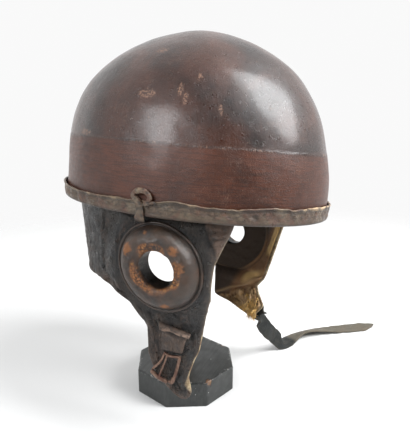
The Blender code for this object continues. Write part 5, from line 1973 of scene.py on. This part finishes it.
@dataclass
class BuckleFrame:
    """The buckle: a bent frame with a rolled lower bar, and its prong."""

    hang: Hanging
    bar: float = 0.0015
    corners: tuple = (("drop", "reach"), (0.728, -0.318), (0.846, -0.15), (0.893, -0.35), (0.87, -0.425),
        (0.738, -0.498))

    def rail(self, drops: list, reaches: list, lift: float, half: float, wall: float, count: int,
            square: float = 2.6) -> Skin:
        """A bar on the flap between places given by shares of drop and reach.

        Args:
            drops: Shares of the drop.
            reaches: Shares of the reach.
            lift: Height of the bar's centre over the flap.
            half: Half width.
            wall: Half thickness.
            count: Sections.
            square: Squareness of the section.

        Returns:
            The bar's skin.
        """
        line = smooth_run(pack(drops, reaches), count)
        path = self.hang.at(Side.RIGHT, line[:, 0], line[:, 1], lift)
        out = unit(self.hang.at(Side.RIGHT, line[:, 0], line[:, 1], lift + 0.002) - path)
        along = unit(np.gradient(path, axis=0))
        wide = unit(np.cross(out, along))
        ends = np.minimum(np.arange(count), np.arange(count)[::-1])
        taper = cut(0.55 + 0.15 * ends)
        return tube(path, wide, unit(np.cross(along, wide)), half * taper, wall * taper, square, 18)

    def skin(self) -> Skin:
        """The left and right bars, the bar in the tab, the rolled bottom bar and the prong."""
        lift = GAP + 0.0003 + self.bar
        d, r = columns(self.corners)["drop"], columns(self.corners)["reach"]
        made = self.rail([d[0] - 0.012, d[0] + 0.05, d[1] - 0.008], [r[0], r[0] + 0.058, r[1]], lift,
            0.0011, 0.0009, 40)
        made = made.joined(self.rail([d[4] - 0.012, d[4] + 0.06, d[3] - 0.004],
            [r[4], r[4] + 0.032, r[3] - 0.004], lift + 0.0002, 0.0014, 0.001, 40))
        made = made.joined(self.rail([d[0] - 0.006, 0.735, d[4] - 0.006],
            [r[0] + 0.01, -0.385, r[4] - 0.01], lift, 0.0012, 0.0012, 30))
        made = made.joined(self.rail([d[1] - 0.004, 0.876, d[2]], [r[1] + 0.012, -0.235, r[2]],
            lift + 0.0004, 0.0021, 0.0017, 50, 2.0))
        made = made.joined(self.rail([d[2] - 0.006, d[2] - 0.001, d[3] - 0.002, d[3] - 0.012],
            [r[2] - 0.01, r[2] - 0.05, r[3] + 0.004, r[3] - 0.002], lift + 0.0003, 0.0018, 0.0014, 24, 2.0))
        made = made.joined(self.rail([0.722, 0.77, 0.845, 0.874], [-0.352, -0.32, -0.262, -0.246],
            lift + 0.0013, 0.0008, 0.0006, 36, 2.2))
        rub = waves(made.points, 0.004, 95, 2)
        # Here the crease mark is painted shade on the bars' undersides, the side toward the flap.
        made.marks["crease"] = cut(-made.marks["face"] * 0.7) * cut(0.6 + rub)
        return made


@dataclass
class ChinStrap:
    """The chin strap, from the far flap down to the floor and out to its tip."""

    hang: Hanging
    width: float = 0.0178
    wall: float = 0.0026
    out: float = 0.2097
    front: float = 0.1813
    lift: float = 0.05
    seat_height: float = 0.003
    seats: tuple = (("drop", "reach", "seat"), (0.64, -0.64, 0.04), (0.695, -0.725, 0.62),
        (0.75, -0.815, 0.92), (0.785, -0.85, 1.0))
    run: tuple = (("out", "front", "lift", "roll"), (0.336, 0.349, 1.0, 84.0), (0.38, 0.38, 0.7, 94.0),
        (0.455, 0.412, 0.385, 92.0), (0.505, 0.435, 0.165, 68.0), (0.55, 0.456, 0.05, 22.0),
        (0.605, 0.477, 0.045, -2.0), (0.665, 0.51, 0.075, -18.0), (0.715, 0.565, 0.11, -25.0),
        (0.775, 0.64, 0.085, -16.0), (0.845, 0.748, 0.045, -2.0), (0.905, 0.857, 0.038, 4.0),
        (0.95, 0.936, 0.045, 8.0), (1.0, 1.0, 0.062, 10.0))

    def seated(self) -> Array:
        """Places and rolls where the strap lies flat on the far flap."""
        lift = GAP + self.wall / 2
        table = columns(self.seats)
        places = POSE.place(self.hang.at(Side.LEFT, table["drop"], table["reach"],
            lift + self.seat_height * table["seat"]))
        base = POSE.place(self.hang.at(Side.LEFT, table["drop"], table["reach"]))
        low = POSE.place(self.hang.at(Side.LEFT, table["drop"], table["reach"], lift))
        along = np.empty_like(places)
        along[1:-1] = places[2:] - places[:-2]
        along[0], along[-1] = (places[1] - places[0], places[-1] - places[-2])
        along, level, steep = self.axes(along)
        wide = unit(np.cross(unit(low - base), along))
        roll = np.arctan2(np.sum(wide * steep, -1), np.sum(wide * level, -1))
        return np.column_stack([places, roll])

    @staticmethod
    def axes(run: Array) -> tuple[Array, Array, Array]:
        """Directions at each place of a strap.

        Args:
            run: The way it runs, of any length.

        Returns:
            Unit vectors along the run, level across it, and at right angles to both.
        """
        along = unit(run)
        level = unit(np.cross(along, [0.0, 0.0, 1.0]))
        return along, level, unit(np.cross(along, level))

    def skin(self) -> Skin:
        """A flat rounded section carried along the strap's run, pointed at its tip."""
        table = columns(self.run)
        free = np.column_stack([table["out"] * self.out, -table["front"] * self.front,
            table["lift"] * self.lift, np.radians(table["roll"])])
        samples = smooth_run(np.vstack([self.seated(), free]), 360)
        path = samples[:, :3]
        along, level, steep = self.axes(np.gradient(path, axis=0))
        roll = samples[:, 3:]
        wide = level * np.cos(roll) + steep * np.sin(roll)
        thick = unit(np.cross(along, wide))
        left = summed(np.linalg.norm(np.diff(path, axis=0), axis=1))
        left = left[-1] - left
        point = cut(left / 0.021)
        half = self.width / 2 * (0.05 + 0.95 * point ** 0.72)
        start = np.clip((left[0] - left) / 0.004, 0.12, 1.0)
        lump = 1.0 + 0.03 * waves(path, 0.012, 101, 2)
        wall = np.full(len(path), self.wall / 2) * np.sqrt(start) * cut(0.35 + point)
        skin = tube(path, wide, thick, half * lump, wall, 4.5, 44)
        side = skin.marks["side"]
        x, y, z = skin.points.T
        skin.marks["flesh"] = np.concatenate([np.repeat(rise((0.14 - left) / 0.024), 44), [0.0, 1.0]])
        # The crease mark is painted shade in the crease lines, strongest at the bend where the strap comes
        # down to the floor.
        bend = np.concatenate([np.repeat(bell((left - 0.162) / 0.012), 44), [0.0, 0.0]])
        lines = creases(x + y, z + y * 0.3, 0.01, 0.004, 40.0, 103)
        skin.marks["crease"] = cut(0.25 * lines + 0.8 * bend * lines) * (1.0 - np.abs(side) ** 8)
        skin.points[:, 2] = np.maximum(skin.points[:, 2], 0.0)
        return skin


@dataclass
class Stand:
    """The octagonal block, the turned post and the turned head under the crown."""

    base_radius: float = 0.0536
    base_height: float = 0.0259
    edge: float = 0.0016
    post_radius: float = 0.0085
    top_radius: float = 0.044
    top_height: float = 0.024
    crown: float = 0.005
    turn: float = math.radians(24.9)
    chips: tuple = (("x", "y", "z", "radius", "depth"), (-0.0322, -0.0405, 0.025, 0.0038, 0.0013),
        (0.041, -0.028, 0.0258, 0.0026, 0.0008), (-0.02, 0.048, 0.001, 0.004, 0.0012))

    def base(self) -> Skin:
        """The block: rings round an octagon, softened at its corners, with chips pushed in.

        The radius at an angle is the flat's distance over the cosine of the
        angle from that flat's middle, averaged over a small turn.
        """
        angle = turns(384)
        flat = self.base_radius * math.cos(math.pi / 8)
        radius = np.zeros_like(angle)
        for shift in np.linspace(-0.022, 0.022, 9):
            local = (angle + shift - self.turn + math.pi / 8) % (math.pi / 4) - math.pi / 8
            radius += flat / np.cos(local) / 9.0
        phi = np.linspace(0.0, math.pi / 2, 6)
        low_in, low_z = self.edge * 0.5 * (1 - np.sin(phi)), self.edge * 0.5 * (1 - np.cos(phi))
        top_in, top_z = self.edge * (1 - np.cos(phi)), self.base_height - self.edge * (1 - np.sin(phi))
        side_z = np.linspace(self.edge * 0.5, self.base_height - self.edge, 16)[1:-1]
        inset = np.concatenate([low_in, np.zeros(14), top_in])
        level = np.concatenate([low_z, side_z, top_z])
        shares = np.linspace(0.985, 0.04, 34)
        ring = radius[None] - inset[:, None]
        rows_r = np.concatenate([ring[:1] * 0.02, ring[:1] * 0.5, ring, ring[-1:] * shares[:, None]])
        rows_z = np.concatenate([[0.0, 0.0], level, np.full(len(shares), self.base_height)])
        rows = pack(rows_r * np.cos(angle), rows_r * np.sin(angle), rows_z[:, None])
        chip = np.zeros(rows.shape[:2])
        table = columns(self.chips)
        inward = unit(np.array([0.0, 0.0, 0.012]) - rows)
        for x, y, z, size, depth in zip(*(table[k] for k in ("x", "y", "z", "radius", "depth"))):
            away = np.linalg.norm(rows - [x, y, z], axis=-1) / size
            here = rise(1.25 - away + 0.25 * waves(rows, 0.003, 111, 2))
            rows = rows + inward * (here * depth)[..., None]
            chip = np.maximum(chip, here)
        rows[..., 2] = np.maximum(rows[..., 2], 0.0)
        border = (np.exp(-np.abs(rows_r - ring[-1]) / 0.0012)
            * (np.abs(rows_z - self.base_height) < 0.002)[:, None])
        u = np.linspace(0.0, 0.33, 385)
        return loft(rows, u, np.linspace(0.0, 0.1, len(rows)), {"chip": chip, "edge": border},
            poles=(True, True))

    def lathe(self, radius: Array, z: Array, around: int) -> Skin:
        """Turn a profile about the stand's axis.

        Args:
            radius: The profile's radii.
            z: Its heights, rising.
            around: Points round a turn.

        Returns:
            The closed skin.
        """
        angle = turns(around)
        rows = pack(radius[:, None] * np.cos(angle), radius[:, None] * np.sin(angle), z[:, None])
        return loft(rows, np.linspace(0.0, 0.2, around + 1), z, {}, poles=(True, True))

    def post(self) -> Skin:
        """The post, plain but for three shallow turned grooves near each end."""
        low, high = (corner.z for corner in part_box("stand_post"))
        z = np.concatenate([[low], np.linspace(low + 0.0002, high - 0.0002, 220), [high]])
        radius = np.full(len(z), self.post_radius)
        for at in (low + 0.02, low + 0.026, low + 0.032, high - 0.02, high - 0.026, high - 0.032):
            radius -= 0.0006 * bell((z - at) / 0.0012)
        radius[0] = radius[-1] = self.post_radius - 0.0006
        return self.lathe(radius, z, 72)

    def head(self) -> Skin:
        """The head: a turned bowl below and a low crown above."""
        low, high = (corner.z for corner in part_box("stand_top"))
        table = [(0.02, low), (0.3, low), (0.62, low + self.top_height * 0.1),
            (0.9, low + self.top_height * 0.38), (1.0, low + self.top_height * 0.62)]
        for share in (1.0, 0.93, 0.75, 0.5, 0.25, 0.04):
            sag = self.crown * share ** 2 + (0.0008 if share == 1.0 else 0.0)
            table.append((share, high - sag))
        run = np.array(table)
        length = summed(np.hypot(np.diff(run[:, 0]) * self.top_radius, np.diff(run[:, 1])))
        at = np.linspace(0.0, length[-1], 140)
        share = eased(at, length, run[:, 0], 0.0006)
        z = np.clip(eased(at, length, run[:, 1], 0.0006), low, high)
        radius = np.clip(share, 0.01, 1.0) * self.top_radius
        radius -= 0.0005 * bell((z - low - self.top_height * 0.5) / 0.0008)
        return self.lathe(radius, z, 120)


@dataclass
class Studio:
    """The pale floor, the soft lights and the camera at the photograph's angle."""

    place: tuple = (-0.4394, -0.2008, 0.3053)
    azimuth: float = -66.24
    yaw: float = 1.69
    pitch: float = 14.2
    lens: float = 41.11
    paper: tuple = (0.73, 0.73, 0.725)
    dim: float = 0.12
    bright: float = 1.05
    white: float = 0.95
    near: float = 0.42
    far: float = 0.95

    def floor(self) -> None:
        """A wide level sheet of pale paper that fades into the white room, and is clear from below."""
        x, y = np.meshgrid(np.linspace(-1.0, 1.0, 41), np.linspace(-1.0, 1.0, 41))
        rows = pack(x, y, np.zeros_like(x))
        index = np.arange(rows[..., 0].size).reshape(x.shape)
        quads = pack(index[:-1, :-1], index[:-1, 1:], index[1:, 1:], index[1:, :-1]).reshape(-1, 4)
        mesh = bpy.data.meshes.new("floor")
        mesh.from_pydata(rows.reshape(-1, 3).tolist(), [], quads.tolist())
        look = bpy.data.materials.new("floor_paper")
        look.use_nodes = True
        n = Nodes(look.node_tree)
        shader = look.node_tree.nodes["Principled BSDF"]
        for name, value in (("Base Color", self.paper), ("Roughness", 0.9), ("Specular IOR Level", 0.1)):
            n.give(shader.inputs[name], value)
        away = n.vector("LENGTH", n.add("TexCoord").other("Object"))
        below = n.add("NewGeometry").other("Backfacing")
        n.give(shader.inputs["Alpha"], n.math("SUBTRACT", n.span(away, self.near, self.far, 1.0, 0.0),
            below, True))
        mesh.materials.append(look)
        floor = bpy.data.objects.new("floor", mesh)
        bpy.context.scene.collection.objects.link(floor)

    def light(self, name: str, way: tuple, distance: float, size: tuple, power: float,
            colour: tuple) -> None:
        """An area light that looks at the helmet.

        Args:
            name: The light's name.
            way: Direction from the helmet to the light.
            distance: Distance from the helmet.
            size: Width and height.
            power: Power in watts.
            colour: Its colour.
        """
        data = bpy.data.lights.new(name, "AREA")
        data.shape = "ELLIPSE"
        data.size, data.size_y = size
        data.energy = power
        data.color = colour
        lamp = bpy.data.objects.new(name, data)
        bpy.context.scene.collection.objects.link(lamp)
        aim = Vector((0.0, -0.01, 0.24))
        toward = Vector(way).normalized()
        lamp.location = aim + toward * distance
        lamp.rotation_mode = "QUATERNION"
        lamp.rotation_quaternion = toward.to_track_quat("Z", "Y")

    def lights(self) -> None:
        """A long soft key over the helmet's front, and a square window at its side."""
        self.light("key", (0.07, -0.72, 0.69), 1.25, (0.62, 1.45), 35.0, (0.98, 0.99, 1.0))
        self.light("window", (-0.868, 0.27, 0.418), 1.4, (0.72, 0.72), 15.0, (0.96, 0.98, 1.0))

    def room(self) -> None:
        """The pale room: white to the camera, and dimmer on the camera's side in reflections."""
        world = bpy.data.worlds.new("room")
        bpy.context.scene.world = world
        world.use_nodes = True
        bpy.context.scene.view_settings.view_transform = "Standard"
        n = Nodes(world.node_tree)
        turn = math.radians(self.azimuth)
        away = (-math.sin(turn), math.cos(turn), 0.0)
        facing = n.vector("DOT_PRODUCT", n.add("TexCoord").other("Generated"), away)
        level = n.span(facing, -0.8, 0.45, self.dim, self.bright)
        seen = n.add("LightPath").other("Is Camera Ray")
        strength = n.add("Mix", {"data_type": "FLOAT"}, Factor=seen, A=level, B=self.white)
        background = world.node_tree.nodes["Background"]
        background.inputs["Color"].default_value = (1.0, 1.0, 1.0, 1.0)
        n.give(background.inputs["Strength"], strength)

    def camera(self) -> None:
        """The camera, turned by its azimuth, yaw and pitch."""
        a, y, p = (math.radians(k) for k in (self.azimuth, self.yaw, self.pitch))
        ahead = Vector((-math.sin(a), math.cos(a), 0.0))
        right = ahead.cross(Vector((0.0, 0.0, 1.0)))
        level = ahead * math.cos(y) + right * math.sin(y)
        right = level.cross(Vector((0.0, 0.0, 1.0)))
        forward = level * math.cos(p) - Vector((0.0, 0.0, 1.0)) * math.sin(p)
        up = right.cross(forward)
        data = bpy.data.cameras.new("camera")
        data.lens = self.lens
        data.clip_start, data.clip_end = 0.01, 20.0
        cam = bpy.data.objects.new("camera", data)
        bpy.context.scene.collection.objects.link(cam)
        turn = Matrix((right, up, -forward)).transposed().to_4x4()
        cam.matrix_world = Matrix.Translation(self.place) @ turn
        bpy.context.scene.camera = cam


def build_helmet(effects: Effects) -> None:
    """Build every piece of the helmet.

    Args:
        effects: The shared effects.
    """
    shell = Shell()
    hang = Hanging()
    binding = BindingLeather().make(effects)
    flap = FlapLeather().make(effects)
    ring = RingLeather().make(effects)
    make_piece("dome", shell.skin(), DomeLeather().make(effects), ("shell",))
    make_piece("rim_edge", RimBinding(shell).skin(), binding, ("rim_binding",))
    make_piece("rim_tie", RimTie().skin(), binding, ("binding_tie",))
    for side in Side:
        name = side.value
        make_piece(f"{name}_flap", EarFlap(hang, side).skin(), flap, (f"{name}_ear_flap",))
        padded = make_piece(f"{name}_ring", EarRing(hang, side).skin(), ring,
            (f"{name}_ear_ring",))
    lining = LiningCloth().make(effects)
    make_piece("flap_lining", FlapLining(hang, Side.LEFT).skin(), lining,
        ("left_flap_lining",))
    make_piece("curtain", NeckCurtain(hang).skin(), flap, ("neck_curtain",))
    make_piece("tab", BuckleTab(hang).skin(), TabLeather().make(effects), ("buckle_tab",))
    make_piece("buckle", BuckleFrame(hang).skin(), BuckleMetal().make(effects),
        ("buckle_frame",))
    strap = StrapLeather().make(effects)
    make_piece("strap", ChinStrap(hang).skin(), strap, ("chin_strap",), seated=False)


def build_stand(effects: Effects) -> None:
    """Build the block, post and head of the stand.

    Args:
        effects: The shared effects.
    """
    stand = Stand()
    wood = TurnedWood().make(effects)
    make_piece("block", stand.base(), PaintedWood().make(effects), ("stand_base",),
        seated=False)
    make_piece("post", stand.post(), wood, ("stand_post",), seated=False)
    make_piece("head", stand.head(), wood, ("stand_top",), seated=False)


def main() -> None:
    """Build the pieces in order, then the studio."""
    logging.basicConfig(level=logging.INFO, format="%(name)s: %(message)s")
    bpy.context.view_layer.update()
    effects = Effects()
    build_helmet(effects)
    build_stand(effects)
    studio = Studio()
    studio.floor()
    studio.lights()
    studio.room()
    studio.camera()
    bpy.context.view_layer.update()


if __name__ == "__main__":
    main()
